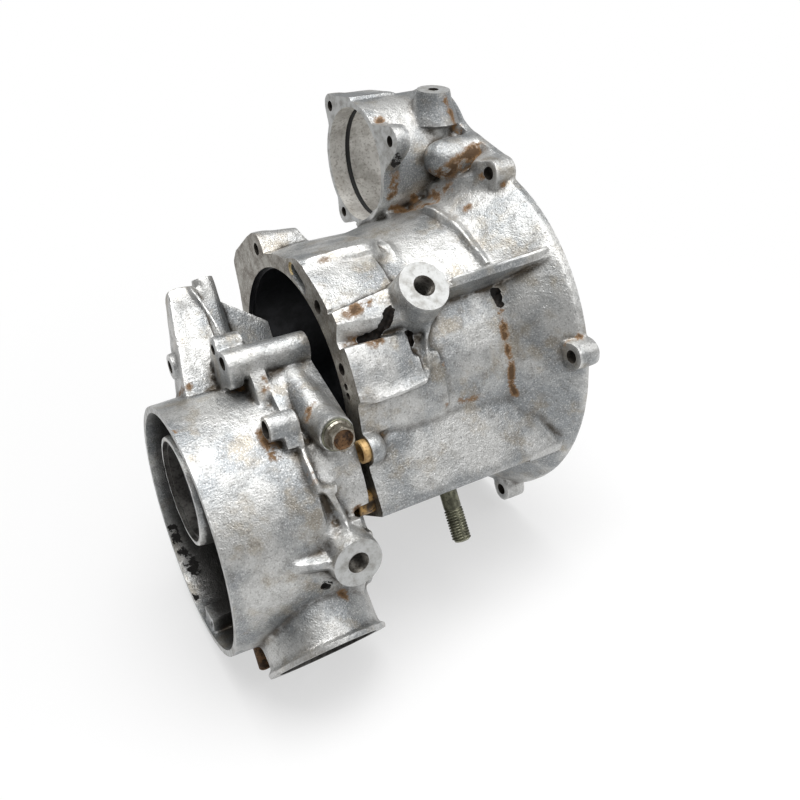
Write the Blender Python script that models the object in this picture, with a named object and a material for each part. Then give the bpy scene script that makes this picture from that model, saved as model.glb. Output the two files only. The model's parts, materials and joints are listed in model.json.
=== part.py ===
"""Engine crankcase: a die-cast main case with a bell flange, and the end housing set against it on two dowels.

Lengths are in metres and angles in degrees. Both castings are drawn in the casting frame: +X runs along
the crank axis towards the bell, +Y points out of the flat side wall and +Z towards the base face, with
the origin on the main flange face. An angle is counted about +X, from +Y towards +Z. The empty rest_pose
turns the frame so that the castings lie on a floor at z = 0, on a bell lug, the port and the far boss.
"""
import bpy
import bmesh
from math import asin, cos, hypot, pi, radians, sin, tan
from mathutils import Matrix, Vector

# Sides of the circles, by size
BIG_SIDES = 72
FINE_SIDES = 44
ROUND_SIDES = 24
SMALL_SIDES = 16
HOLE_SIDES = 14
RACE_SIDES = 36
BALL_SIDES = 12

# Main case: barrel, neck and lower box
FLANGE_THICK = 0.010
BORE_RADIUS = 0.0775
BORE_AT = (-0.0045, -0.0020)
BORE_DEPTH = 0.098
BORE_STEP_WIDE = 0.0015
BORE_STEP_DEEP = 0.004
BARREL_RADIUS = 0.0915
BARREL_FACE_RADIUS = BARREL_RADIUS - 0.0030
BARREL_TAPER_LONG = 0.025
BARREL_LONG = 0.059
NECK_START_RADIUS = BARREL_RADIUS - 0.0015
NECK_END = 0.112
NECK_END_RADIUS = BARREL_RADIUS + 0.0045
NECK_END_DROP = -0.006
BOX_HALF_WIDE = 0.080
BASE_FACE = 0.089
BOX_CORNER = 0.004
WEB_WALL = 0.012
WEB_BORE_RADIUS = 0.034

# Bell
BELL_AT = (0.0, -0.0074)
BELL_ROOT_RADIUS = BARREL_RADIUS + 0.0080
RIM_FACE = 0.147
RIM_RADIUS = BARREL_RADIUS + 0.0318
RIM_PLATE_THICK = 0.0055
BELL_CONE_END = RIM_FACE - 0.008
BELL_CONE_RADIUS = RIM_RADIUS - 0.0023
BELL_WALL = 0.006
LUG_CIRCLE = RIM_RADIUS + 0.0014
LUG_RADIUS = 0.0092
LUG_HOLE_RADIUS = 0.0042
LUG_BACK = RIM_FACE - 0.015
LUG_ANGLES = (-44.0, 18.1, 93.0, 140.0, 180.0, 222.0)

# Starter housing
STARTER_AT = (0.0154, -BARREL_RADIUS - 0.0428)
STARTER_BORE_RADIUS = 0.0376
STARTER_FACE = 0.080
STARTER_FLANGE_THICK = 0.010
STARTER_RING_RADIUS = STARTER_BORE_RADIUS + 0.0039
STARTER_HOUSING_RADIUS = STARTER_BORE_RADIUS + 0.0052
STARTER_BULGE_RADIUS = STARTER_BORE_RADIUS + 0.0066
STARTER_GROOVE_AT = 0.0925
STARTER_GROOVE_WIDE = 0.0036
STARTER_GROOVE_DEEP = 0.0018
STARTER_EARS = ((-0.0100, -0.0457, 0.0085), (0.0557, 0.0048, 0.0095), (-0.0370, 0.0220, 0.0085))
EAR_HOLE_RADIUS = 0.0035
PAD_ANGLE = -64.0
PAD_LONG = 0.034

# Raised block beside the flange
BLOCK_REACH = BARREL_RADIUS + 0.0055
BLOCK_FOOT = BLOCK_REACH - 0.0120
BLOCK_LONG = 0.040

# Threaded bosses on the main case
BOSS_RADIUS = 0.0155
BOSS_DRAFT = 0.0025
BOSS_HOLE_RADIUS = 0.0054
BOSS_CHAMFER = 0.0012
BOSS_HOLE_DEEP = 0.026
SIDE_BOSS_X = 0.050
SIDE_BOSS_ANGLE = -16.0
SIDE_BOSS_REACH = BARREL_RADIUS + 0.0280
SIDE_RIB_THICK = 0.0052
SIDE_RIB_REACH = BARREL_RADIUS + 0.0210
BREATHER_X = 0.128
BREATHER_ANGLE = -54.0
BREATHER_OUT = 0.0495
BREATHER_SIDE = 0.022
BREATHER_RADIUS = 0.0110
BREATHER_HOLE_RADIUS = 0.0035
BULLET_AT = (0.062, -BARREL_RADIUS - 0.0240)
BULLET_RADIUS = 0.0125
BULLET_START = 0.120

# Main flange: holes and ears, as (y, z) on the face
TOP_HOLE = (0.0, -BARREL_RADIUS - 0.0030)
TOP_EAR_RADIUS = 0.0115
TOP_EAR_LONG = 0.030
SLOT_START = (0.0525, -0.0680)
SLOT_END = (0.0610, -0.0545)
SLOT_RADIUS = 0.0038
THIRD_HOLE = (0.0745, -0.0400)
FOURTH_HOLE = (0.0825, -0.0010)
PIN_HOLES = ((0.0812, 0.0095), (0.0805, 0.0150))
PIN_HOLE_RADIUS = 0.0022
FLANGE_HOLE_RADIUS = 0.0042
FLANGE_HOLE_DEEP = 0.022
UPPER_DOWEL_AT = (0.0825, 0.0480)
LOWER_DOWEL_AT = (0.0660, 0.0790)
DOWEL_RADIUS = 0.0070
DOWEL_WALL = 0.0016
DOWEL_IN_CASE = 0.008
DOWEL_IN_HOUSING = 0.006

# Base opening and stud
BASE_OPENING_HALF = 0.056
BASE_OPENING_START = 0.018
BASE_OPENING_END = 0.094
BASE_HOLE_INSET = 0.012
STUD_AT = (0.0518, 0.0660)
STUD_RADIUS = 0.0060
STUD_TIP = 0.123
STUD_SHANK_END = 0.102
STUD_IN_CASE = 0.020

# End housing
JOINT_GAP = 0.0048
DRUM_AT = (0.0006, 0.0673)
DRUM_RADIUS = 0.0810
DRUM_BACK_RADIUS = DRUM_RADIUS + 0.0010
DRUM_MOUTH = -0.0970
DRUM_END = -0.0350
DRUM_BAND = 0.0090
DRUM_BAND_STEP = 0.0004
DRUM_BORE_RADIUS = DRUM_RADIUS - 0.0045
DRUM_FLOOR = -0.0430
POCKET_FLOOR = -0.0350
NECK_SHOULDER = -0.0235
RIB_X = -0.0370
RIB_WIDE = 0.0028
RIB_RADIUS = DRUM_RADIUS + 0.0032

# Hub inside the drum, with the seal and the bearing
HUB_AT = (-0.0050, 0.0430)
HUB_RADIUS = 0.0365
HUB_ROOT_RADIUS = 0.0450
HUB_FACE = DRUM_MOUTH + 0.0055
HUB_LEDGE_RADIUS = 0.0330
HUB_LEDGE_DEEP = 0.0015
SEAL_RADIUS = 0.0300
SEAL_INNER_RADIUS = 0.0210
SEAL_FACE = HUB_FACE + 0.0085
SEAL_WIDE = 0.0070
SHAFT_RADIUS = 0.0225
BEARING_RADIUS = 0.0310
BEARING_INNER_RADIUS = 0.0150
BEARING_FACE = HUB_FACE + 0.0195
BEARING_WIDE = 0.0160
BALL_RADIUS = 0.00475
BALL_CIRCLE = 0.0230
BALL_COUNT = 9
RACE_SHOULDER = 0.0030
CAGE_THICK = 0.0024
CAGE_WIDE = 0.0125
SNAP_RING_WIDE = 0.0016
SNAP_RING_DEEP = 0.0016
SNAP_RING_BAND = 0.0035

# Port, bosses and tubes on the end housing
PORT_X = -0.0430
PORT_ANGLE = 70.0
PORT_REACH = DRUM_RADIUS + 0.0210
PORT_RADIUS = 0.0355
PORT_BEAD_RADIUS = PORT_RADIUS + 0.0030
PORT_BEAD_WIDE = 0.0045
PORT_BEAD_EDGE = 0.0008
PORT_BORE_RADIUS = 0.0320
DRUM_BOSS_X = -0.0250
DRUM_BOSS_AT = (0.0850, 0.1070)
DRUM_BOSS_ANGLE = 26.0
FAR_BOSS_ANGLE = 180.0 - DRUM_BOSS_ANGLE
FAR_BOSS_AT = (-DRUM_BOSS_AT[0], DRUM_BOSS_AT[1])
BOLT_X = -0.0163
BOLT_ANGLE = 26.0
BOLT_SEAT_AT = (0.0880, 0.0334)
BOLT_BOSS_RADIUS = 0.0110
BOLT_RADIUS = 0.0040
BOLT_LONG = 0.022
BOLT_HEAD_RADIUS = 0.0081
BOLT_HEAD_TALL = 0.0062
BOLT_DISH = 0.0018
WASHER_RADIUS = 0.0100
WASHER_THICK = 0.0016
UPPER_TUBE_AT = (0.0480, -0.0220)
UPPER_TUBE_RADIUS = 0.0095
UPPER_TUBE_START = -0.0570
SMALL_TUBE_AT = (0.0410, -0.0340)
SMALL_TUBE_RADIUS = 0.0075
SIDE_TUBE_AT = (0.0760, 0.0195)
SIDE_TUBE_RADIUS = 0.0080
SIDE_TUBE_START = -0.0520
SIDE_TUBE_END = -0.0330
TUBE_HOLE_RADIUS = 0.0042
COLUMN_TOP = -0.0800
COLUMN_FOOT = -0.0100
BACK_LUG_AT = (-0.0770, 0.0010, -0.0335)
PLUG_AT = (-0.0765, 0.0060)
PLUG_RADIUS = 0.0040
PLUG_TOP = 0.1450
PLUG_TIP = 0.1650

# Threads
THREAD_PITCH = 0.00175
THREAD_DEEP = 0.0008

# Seal of the bell-side shaft opening
REAR_SEAL_WIDE = 0.0090
REAR_SEAL_INNER_RADIUS = 0.0190

# How the castings lie: the lug they lie on, and how often the level plane is worked out again
RESTING_LUG = 3
REST_TURNS = 30

# Fits between separate pieces, and what is left on a rough face for the mill
FIT = 0.0003
TRIM = 0.003

# Corners this close together after a cut are one corner
WELD_WITHIN = 0.00002

MATERIALS = {
    "cast_aluminium": ((0.52, 0.52, 0.51, 1.0), 0.50, 1.0),
    "zinc_steel": ((0.50, 0.50, 0.42, 1.0), 0.40, 1.0),
    "bearing_steel": ((0.55, 0.56, 0.57, 1.0), 0.25, 1.0),
    "yellow_brass": ((0.62, 0.42, 0.16, 1.0), 0.45, 1.0),
    "black_rubber": ((0.012, 0.012, 0.013, 1.0), 0.55, 0.0),
    "black_steel": ((0.030, 0.028, 0.025, 1.0), 0.60, 0.6),
    "copper_washer": ((0.30, 0.24, 0.16, 1.0), 0.50, 1.0),
}


def material(name):
    """The named finish, made once."""
    if name in bpy.data.materials:
        return bpy.data.materials[name]
    colour, roughness, metallic = MATERIALS[name]
    made = bpy.data.materials.new(name)
    made.use_nodes = True
    made.diffuse_color = colour
    shader = made.node_tree.nodes["Principled BSDF"]
    shader.inputs["Base Color"].default_value = colour
    shader.inputs["Roughness"].default_value = roughness
    shader.inputs["Metallic"].default_value = metallic
    return made


def new_object(name, bm):
    """Turn a bmesh into a linked object and free the bmesh."""
    bmesh.ops.recalc_face_normals(bm, faces=bm.faces)
    mesh = bpy.data.meshes.new(name)
    bm.to_mesh(mesh)
    bm.free()
    made = bpy.data.objects.new(name, mesh)
    bpy.context.scene.collection.objects.link(made)
    return made


def polar(radius, angle, centre=(0.0, 0.0)):
    """A (y, z) point at a radius and an angle about a centre."""
    turn = radians(angle)
    return (centre[0] + radius * cos(turn), centre[1] + radius * sin(turn))


def at(x, place):
    """A 3-D point from an x and a (y, z) place."""
    return Vector((x, place[0], place[1]))


def facing(angle):
    """The unit vector square to the crank axis at an angle."""
    return Vector((0.0, cos(radians(angle)), sin(radians(angle))))


def rounded(corners, steps=4):
    """An outline of (y, z, radius) corners, each rounded by an arc of that radius."""
    outline = []
    count = len(corners)
    for index, (y, z, radius) in enumerate(corners):
        corner = Vector((y, z))
        before = (Vector(corners[index - 1][:2]) - corner).normalized()
        after = (Vector(corners[(index + 1) % count][:2]) - corner).normalized()
        half = before.angle(after) / 2.0
        if radius <= 0.0 or half > radians(88.0):
            outline.append((y, z))
            continue
        middle = corner + (before + after).normalized() * (radius / sin(half))
        first = corner + before * (radius / tan(half)) - middle
        last = corner + after * (radius / tan(half)) - middle
        sweep = first.angle_signed(last)
        for step in range(steps + 1):
            turned_arm = Matrix.Rotation(-sweep * step / steps, 2) @ first
            outline.append(tuple(middle + turned_arm))
    return outline


def prism(outline, start, end):
    """A (y, z) outline pushed along X from start to end."""
    bm = bmesh.new()
    face = bm.faces.new([bm.verts.new((start, y, z)) for y, z in outline])
    grown = bmesh.ops.extrude_face_region(bm, geom=[face])
    moved = [item for item in grown["geom"] if isinstance(item, bmesh.types.BMVert)]
    bmesh.ops.translate(bm, verts=moved, vec=(end - start, 0.0, 0.0))
    return new_object("prism", bm)


def plate(outline, origin, along, across, thick):
    """An outline in the plane of two directions, centred on that plane with the given thickness."""
    normal = along.cross(across).normalized()
    bm = bmesh.new()
    low = origin - normal * (thick / 2.0)
    face = bm.faces.new([bm.verts.new(low + along * p + across * q) for p, q in outline])
    grown = bmesh.ops.extrude_face_region(bm, geom=[face])
    moved = [item for item in grown["geom"] if isinstance(item, bmesh.types.BMVert)]
    bmesh.ops.translate(bm, verts=moved, vec=normal * thick)
    return new_object("plate", bm)


def rings(stations, sides=FINE_SIDES):
    """A loft through circles square to X, each given as (x, y, z, radius)."""
    bm = bmesh.new()
    loops = []
    for x, y, z, radius in stations:
        turns = [2.0 * pi * index / sides for index in range(sides)]
        loops.append([bm.verts.new((x, y + radius * cos(t), z + radius * sin(t))) for t in turns])
    for first, second in zip(loops, loops[1:]):
        for index in range(sides):
            after = (index + 1) % sides
            bm.faces.new((first[index], first[after], second[after], second[index]))
    bm.faces.new(loops[0])
    bm.faces.new(loops[-1])
    return new_object("rings", bm)


def rod(start, end, radius, end_radius=None, sides=ROUND_SIDES):
    """A round bar or cone between two points."""
    start = Vector(start)
    end = Vector(end)
    turn = (end - start).to_track_quat("Z", "Y").to_matrix().to_4x4()
    place = Matrix.Translation((start + end) / 2.0) @ turn
    bm = bmesh.new()
    bmesh.ops.create_cone(bm, cap_ends=True, segments=sides, radius1=radius,
                          radius2=radius if end_radius is None else end_radius,
                          depth=(end - start).length, matrix=place)
    return new_object("rod", bm)


def turned(profile, origin, direction, sides=ROUND_SIDES):
    """A profile of (radius, height) points spun about a direction through the origin.

    A profile that starts and ends on the axis is left open there, any other one is closed.
    """
    bm = bmesh.new()
    corners = [bm.verts.new((radius, 0.0, height)) for radius, height in profile]
    edges = [bm.edges.new(pair) for pair in zip(corners, corners[1:])]
    if profile[0][0] > 0.0:
        edges.append(bm.edges.new((corners[-1], corners[0])))
    bmesh.ops.spin(bm, geom=corners + edges, cent=(0.0, 0.0, 0.0), axis=(0.0, 0.0, 1.0),
                   angle=2.0 * pi, steps=sides, use_merge=True)
    bmesh.ops.remove_doubles(bm, verts=bm.verts, dist=1e-6)
    bmesh.ops.dissolve_degenerate(bm, edges=bm.edges, dist=1e-7)
    turn = Vector(direction).to_track_quat("Z", "Y").to_matrix().to_4x4()
    bmesh.ops.transform(bm, matrix=Matrix.Translation(Vector(origin)) @ turn, verts=bm.verts)
    return new_object("turned", bm)


def hull(points):
    """The convex solid round a set of points."""
    bm = bmesh.new()
    for point in points:
        bm.verts.new(point)
    wrapped = bmesh.ops.convex_hull(bm, input=bm.verts, use_existing_faces=False)
    inside = [item for item in wrapped["geom_interior"] + wrapped["geom_unused"]
              if isinstance(item, bmesh.types.BMVert)]
    bmesh.ops.delete(bm, geom=list(set(inside)), context="VERTS")
    return new_object("hull", bm)


def circle_points(centre, direction, radius, sides=12):
    """Points round a circle in space, for hulls."""
    turn = Vector(direction).to_track_quat("Z", "Y")
    arms = [Vector((cos(2.0 * pi * i / sides), sin(2.0 * pi * i / sides), 0.0)) for i in range(sides)]
    return [Vector(centre) + turn @ arm * radius for arm in arms]


def ball_points(centre, radius, sides=10):
    """Points over a ball, for hulls with round ends."""
    points = []
    for level in range(1, sides // 2):
        lift = pi * level / (sides // 2)
        for index in range(sides):
            t = 2.0 * pi * index / sides
            arm = Vector((cos(lift), sin(lift) * cos(t), sin(lift) * sin(t)))
            points.append(Vector(centre) + arm * radius)
    points.append(Vector(centre) + Vector((radius, 0.0, 0.0)))
    points.append(Vector(centre) - Vector((radius, 0.0, 0.0)))
    return points


def sector(centre, inner, outer, first, last, start, end, steps=10):
    """A piece of a ring about X between two angles."""
    turns = [first + (last - first) * step / steps for step in range(steps + 1)]
    outline = [polar(outer, turn, centre) for turn in turns]
    outline += [polar(inner, turn, centre) for turn in reversed(turns)]
    return prism(outline, start, end)


def eased(solid, width, segments=2):
    """Round the sharp edges of a simple solid."""
    bevel = solid.modifiers.new("eased edges", "BEVEL")
    bevel.width = width
    bevel.segments = segments
    bevel.limit_method = "ANGLE"
    bevel.angle_limit = radians(40.0)
    return solid


def combine(name, finish, stages):
    """Join and cut solids in stages, each a (UNION or DIFFERENCE, solids) pair, into one piece."""
    base = stages[0][1][0]
    base.name = name
    spent = []
    for number, (operation, solids) in enumerate(stages):
        operands = [solid for solid in solids if solid is not base]
        if not operands:
            continue
        group = bpy.data.collections.new("%s stage %d" % (name, number))
        for solid in operands:
            group.objects.link(solid)
        step = base.modifiers.new("stage %d" % number, "BOOLEAN")
        step.operation = operation
        step.operand_type = "COLLECTION"
        step.collection = group
        step.solver = "EXACT"
        weld = base.modifiers.new("weld %d" % number, "WELD")
        weld.merge_threshold = WELD_WITHIN
        spent.append((group, operands))
    return finish_piece(name, finish, base, spent)


def finish_piece(name, finish, base, spent=()):
    """Evaluate a solid's modifiers once, drop its helpers and hang it on the rest pose."""
    graph = bpy.context.evaluated_depsgraph_get()
    mesh = bpy.data.meshes.new_from_object(base.evaluated_get(graph))
    for group, operands in spent:
        for solid in operands:
            bpy.data.objects.remove(solid)
        bpy.data.collections.remove(group)
    bpy.data.objects.remove(base)
    mesh.name = name
    mesh.materials.clear()
    mesh.materials.append(material(finish))
    mesh.shade_smooth()
    mesh.set_sharp_from_angle(angle=radians(35.0))
    piece = bpy.data.objects.new(name, mesh)
    bpy.context.scene.collection.objects.link(piece)
    piece.parent = bpy.data.objects["rest_pose"]
    return piece


def main_barrel():
    """The tapered barrel round the main bore, its neck and the square lower box."""
    barrel = rings([
        (-TRIM, 0.0, 0.0, BARREL_FACE_RADIUS),
        (BARREL_TAPER_LONG, 0.0, 0.0, BARREL_RADIUS),
        (BARREL_LONG, 0.0, 0.0, BARREL_RADIUS)])
    neck = rings([
        (BARREL_LONG - 0.006, 0.0, 0.0, NECK_START_RADIUS),
        (NECK_END, 0.0, NECK_END_DROP, NECK_END_RADIUS)])
    half = BOX_HALF_WIDE
    box = prism(rounded([
        (half, 0.0, 0.0), (half, BASE_FACE, BOX_CORNER),
        (-half, BASE_FACE, BOX_CORNER), (-half, 0.0, 0.0)]), -TRIM, BELL_CONE_END - 0.003)
    return [barrel, neck, box]


def main_flange():
    """The flange round the main bore, with its ears, as one plate."""
    half = BOX_HALF_WIDE
    outline = rounded([
        (0.0100, -0.0980, 0.004), (0.0070, -0.0885, 0.003), (0.0430, -0.0768, 0.004),
        (0.0610, -0.0735, 0.004), (0.0720, -0.0600, 0.006), (0.0812, -0.0440, 0.004),
        (0.0815, -0.0330, 0.004), (0.0835, -0.0180, 0.002), (0.0808, -0.0105, 0.002),
        (0.0895, -0.0030, 0.006), (0.0908, 0.0120, 0.006), (0.0895, 0.0200, 0.006),
        (half - TRIM, 0.0440, 0.0), (half - TRIM, 0.0600, 0.0),
        (TRIM - half, 0.0600, 0.0), (TRIM - half, 0.0440, 0.0), (-0.0900, 0.0200, 0.006),
        (-0.0905, -0.0100, 0.006), (-0.0850, -0.0330, 0.004), (-0.0740, -0.0560, 0.006),
        (-0.0620, -0.0800, 0.004), (-0.0560, -0.1000, 0.006), (-0.0440, -0.1050, 0.006),
        (-0.0120, -0.1065, 0.004), (0.0020, -0.1060, 0.007)])
    return prism(outline, -TRIM, FLANGE_THICK)


def main_flange_ears():
    """Bosses that run back from the flange: the top ear, the gallery shoulder and the dowel boss."""
    top_ear = hull(
        circle_points(at(-TRIM, TOP_HOLE), (1, 0, 0), TOP_EAR_RADIUS)
        + circle_points(at(TOP_EAR_LONG, TOP_HOLE), (1, 0, 0), TOP_EAR_RADIUS * 0.8)
        + circle_points(at(-TRIM, polar(0.080, -92.0)), (1, 0, 0), 0.012)
        + circle_points(at(TOP_EAR_LONG + 0.006, polar(0.080, -88.0)), (1, 0, 0), 0.009))
    far_ear = hull(
        circle_points(at(-TRIM, (-0.0440, -0.0930)), (1, 0, 0), 0.0115)
        + circle_points(at(0.034, (-0.0400, -0.0780)), (1, 0, 0), 0.0115))
    shoulder_end = BARREL_LONG - 0.011
    shoulder = hull(
        circle_points(at(-TRIM, (0.0570, -0.0600)), (1, 0, 0), 0.0130)
        + ball_points(at(shoulder_end - 0.004, (0.0590, -0.0640)), 0.0130)
        + circle_points(at(0.004, (0.0380, -0.0690)), (1, 0, 0), 0.0110)
        + ball_points(at(shoulder_end - 0.004, (0.0380, -0.0740)), 0.0110))
    cheek = sector((0.0, 0.0), 0.070, 0.0950, -46.0, -22.0, -TRIM, 0.046)
    dowel_boss = turned(dome_profile(0.0095, 0.0120 + TRIM), at(-TRIM, UPPER_DOWEL_AT), (1, 0, 0), SMALL_SIDES)
    dowel_tail = turned(dome_profile(0.0078, 0.030 + TRIM), at(-TRIM, (0.0735, 0.0470)), (1, 0, 0), SMALL_SIDES)
    return [top_ear, far_ear, shoulder, cheek, dowel_boss, dowel_tail]


def dome_profile(radius, height, steps=5):
    """The half section of a round boss with a domed end, standing on height zero."""
    crown = radius * 0.7
    arc = [90.0 * step / steps for step in range(steps + 1)]
    curve = [(radius * cos(radians(t)), height - crown + crown * sin(radians(t))) for t in arc]
    curve[-1] = (0.0, height)
    return [(0.0, 0.0), (radius, 0.0)] + curve


def side_block():
    """The raised block beside the flange, with the lip along its lower edge, and the ribs above it."""
    centre = (0.0, 0.0)
    block = eased(sector(centre, BLOCK_FOOT - 0.005, BLOCK_REACH - 0.0005, -7.5, 10.5, -TRIM, BLOCK_LONG + 0.001), 0.004, 3)
    lip = eased(sector(centre, BLOCK_FOOT, BLOCK_REACH + 0.0005, 9.6, 12.4, -TRIM, BLOCK_LONG + 0.004), 0.0012, 1)
    end_lip = eased(sector(centre, BLOCK_FOOT, BLOCK_REACH, 2.0, 12.4, BLOCK_LONG, BLOCK_LONG + 0.0045), 0.0012, 1)
    band = sector(centre, 0.079, 0.0925, 3.0, 26.0, -TRIM, BARREL_LONG - 0.001)
    bump = rod(at(0.0545, polar(0.080, 4.8)), at(0.0545, polar(0.0945, 4.8)), 0.0065, 0.0045, SMALL_SIDES)
    boss_foot = polar(0.085, SIDE_BOSS_ANGLE)
    heavy = hull(
        [at(-TRIM, polar(0.085, -22.0)), at(-TRIM, polar(0.0975, -19.5)),
         at(-TRIM, polar(0.0975, -15.5)), at(-TRIM, polar(0.085, -10.5))]
        + circle_points(at(SIDE_BOSS_X, boss_foot), facing(SIDE_BOSS_ANGLE), BOSS_RADIUS)
        + circle_points(at(SIDE_BOSS_X - 0.003, polar(0.108, SIDE_BOSS_ANGLE)),
                        facing(SIDE_BOSS_ANGLE), BOSS_RADIUS * 0.72))
    return [block, lip, end_lip, band, bump, heavy]


def side_boss():
    """The threaded boss on the side of the barrel and the rib that ties it to the bell rim."""
    direction = facing(SIDE_BOSS_ANGLE)
    foot = at(SIDE_BOSS_X, polar(0.080, SIDE_BOSS_ANGLE))
    face = at(SIDE_BOSS_X, polar(SIDE_BOSS_REACH, SIDE_BOSS_ANGLE))
    boss = rod(foot, face, BOSS_RADIUS + BOSS_DRAFT, BOSS_RADIUS)
    outline = [(SIDE_BOSS_X, 0.080), (SIDE_BOSS_X, SIDE_RIB_REACH), (SIDE_BOSS_X + 0.012, SIDE_RIB_REACH),
               (BELL_CONE_END + 0.004, SIDE_RIB_REACH + 0.0105), (BELL_CONE_END + 0.004, 0.080)]
    rib = plate(outline, Vector((0.0, 0.0, 0.0)), Vector((1.0, 0.0, 0.0)), direction, SIDE_RIB_THICK)
    return [boss, rib]


def bell_outline(radius, x):
    """One circle of the bell's wall."""
    return (x, BELL_AT[0], BELL_AT[1], radius)


def bell():
    """The bell's cone and rim, its bolt lugs and the bulge of its wall round the starter."""
    cone = rings([
        bell_outline(BELL_ROOT_RADIUS - 0.005, NECK_END - 0.010),
        bell_outline(BELL_ROOT_RADIUS, NECK_END),
        bell_outline(BELL_CONE_RADIUS, BELL_CONE_END),
        bell_outline(RIM_RADIUS, BELL_CONE_END + 0.0030),
        bell_outline(RIM_RADIUS, RIM_FACE + TRIM)], BIG_SIDES)
    solids = [cone]
    for angle in LUG_ANGLES:
        solids.append(bell_lug(angle))
    return solids


def bell_lug(angle):
    """One bolt lug on the rim, with a foot that runs down onto the cone."""
    place = polar(LUG_CIRCLE, angle, BELL_AT)
    inner = polar(LUG_CIRCLE - 0.012, angle, BELL_AT)
    return hull(
        circle_points(at(LUG_BACK, place), (1, 0, 0), LUG_RADIUS - 0.0004)
        + circle_points(at(RIM_FACE + TRIM, place), (1, 0, 0), LUG_RADIUS)
        + circle_points(at(LUG_BACK + 0.0020, inner), (1, 0, 0), LUG_RADIUS - 0.0010)
        + circle_points(at(RIM_FACE, inner), (1, 0, 0), LUG_RADIUS))


def starter_place(offset):
    """A (y, z) place given from the middle of the starter bore."""
    return (STARTER_AT[0] + offset[0], STARTER_AT[1] + offset[1])


def starter_housing():
    """The starter motor's flange, its barrel, the flat pad on it and the bulge in the bell rim."""
    housing = rings([
        (STARTER_FACE + 0.002, *STARTER_AT, STARTER_HOUSING_RADIUS - 0.0015),
        (BELL_CONE_END + 0.004, *STARTER_AT, STARTER_HOUSING_RADIUS)], FINE_SIDES)
    ring = rings([
        (STARTER_FACE - TRIM, *STARTER_AT, STARTER_RING_RADIUS),
        (STARTER_FACE + STARTER_FLANGE_THICK, *STARTER_AT, STARTER_RING_RADIUS)], FINE_SIDES)
    bulge = rings([
        (BELL_CONE_END, *STARTER_AT, STARTER_BULGE_RADIUS),
        (RIM_FACE + TRIM, *STARTER_AT, STARTER_BULGE_RADIUS)], FINE_SIDES)
    solids = [housing, ring, bulge]
    for y, z, radius in STARTER_EARS:
        out = Vector((y, z)).normalized()
        root = Vector((y, z)) - out * (hypot(y, z) - STARTER_RING_RADIUS + 0.018)
        solids.append(hull(
            circle_points(at(STARTER_FACE - TRIM, starter_place((y, z))), (1, 0, 0), radius)
            + circle_points(at(STARTER_FACE + STARTER_FLANGE_THICK, starter_place((y, z))),
                            (1, 0, 0), radius)
            + circle_points(at(STARTER_FACE - TRIM, starter_place(root)), (1, 0, 0), radius * 2.1)
            + circle_points(at(STARTER_FACE + STARTER_FLANGE_THICK, starter_place(root)),
                            (1, 0, 0), radius * 2.1)))
    pad_out = facing(PAD_ANGLE)
    pad_side = facing(PAD_ANGLE + 90.0)
    top = at(0.0, STARTER_AT) + pad_out * (STARTER_HOUSING_RADIUS + 0.0012)
    pad = []
    for x in (STARTER_FACE - TRIM, STARTER_FACE + PAD_LONG):
        for side in (-0.0325, 0.003):
            for depth in (0.0, 0.018):
                pad.append(top + Vector((x, 0.0, 0.0)) + pad_side * side - pad_out * depth)
    solids.append(hull(pad))
    saddle = []
    for x in (STARTER_FACE + 0.004, BELL_CONE_END):
        for half, place in ((0.016, -0.095), (0.030, -0.075)):
            saddle.append(Vector((x, STARTER_AT[0] + half, place)))
            saddle.append(Vector((x, STARTER_AT[0] - half, place)))
    solids.append(hull(saddle))
    return solids


def starter_corner():
    """The wall that fills the corner between the starter housing and the bell, with its blind boss."""
    lug = polar(LUG_CIRCLE, LUG_ANGLES[0], BELL_AT)
    wall = hull([
        Vector((0.1100, 0.0330, -0.0955)), Vector((0.1140, 0.0500, -0.1040)),
        Vector((0.1430, 0.0580, -0.1130)), Vector((0.1430, lug[0], lug[1] - 0.0040)),
        Vector((0.1350, lug[0], lug[1] - 0.0020)), Vector((0.1340, 0.0900, -0.0800)),
        Vector((0.1135, 0.0580, -0.0740)), Vector((0.1100, 0.0300, -0.0800)),
        Vector((0.1430, 0.0300, -0.0900)), Vector((0.1430, 0.0900, -0.0800)),
        Vector((0.1430, 0.0300, -0.1200))])
    rim = prism([
        (0.0400, -0.1680), (0.0590, -0.1400), (0.0645, -0.1310), (lug[0] + 0.0030, lug[1] - 0.0085),
        (lug[0] + 0.0060, lug[1] + 0.0040), (0.0900, -0.0800), (0.0300, -0.0900)],
        RIM_FACE - RIM_PLATE_THICK, RIM_FACE + TRIM)
    arm = hull(
        circle_points(at(0.1300, (lug[0] - 0.010, lug[1] - 0.0060)), (1, 0, 0), 0.0060)
        + circle_points(at(RIM_FACE, (lug[0] - 0.014, lug[1] - 0.0120)), (1, 0, 0), 0.0080)
        + circle_points(at(0.1340, lug), (1, 0, 0), 0.0080) + circle_points(at(RIM_FACE, lug), (1, 0, 0), 0.0088))
    dome = [(BULLET_RADIUS * cos(radians(t)), BULLET_RADIUS * sin(radians(t)))
            for t in (0.0, 18.0, 36.0, 54.0, 72.0)]
    bullet = turned([(0.0, -0.026), (BULLET_RADIUS + 0.001, -0.026)] + dome + [(0.0, BULLET_RADIUS)],
                    at(BULLET_START, BULLET_AT), (-1, 0, 0), SMALL_SIDES)
    return [wall, rim, arm, bullet]


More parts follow.
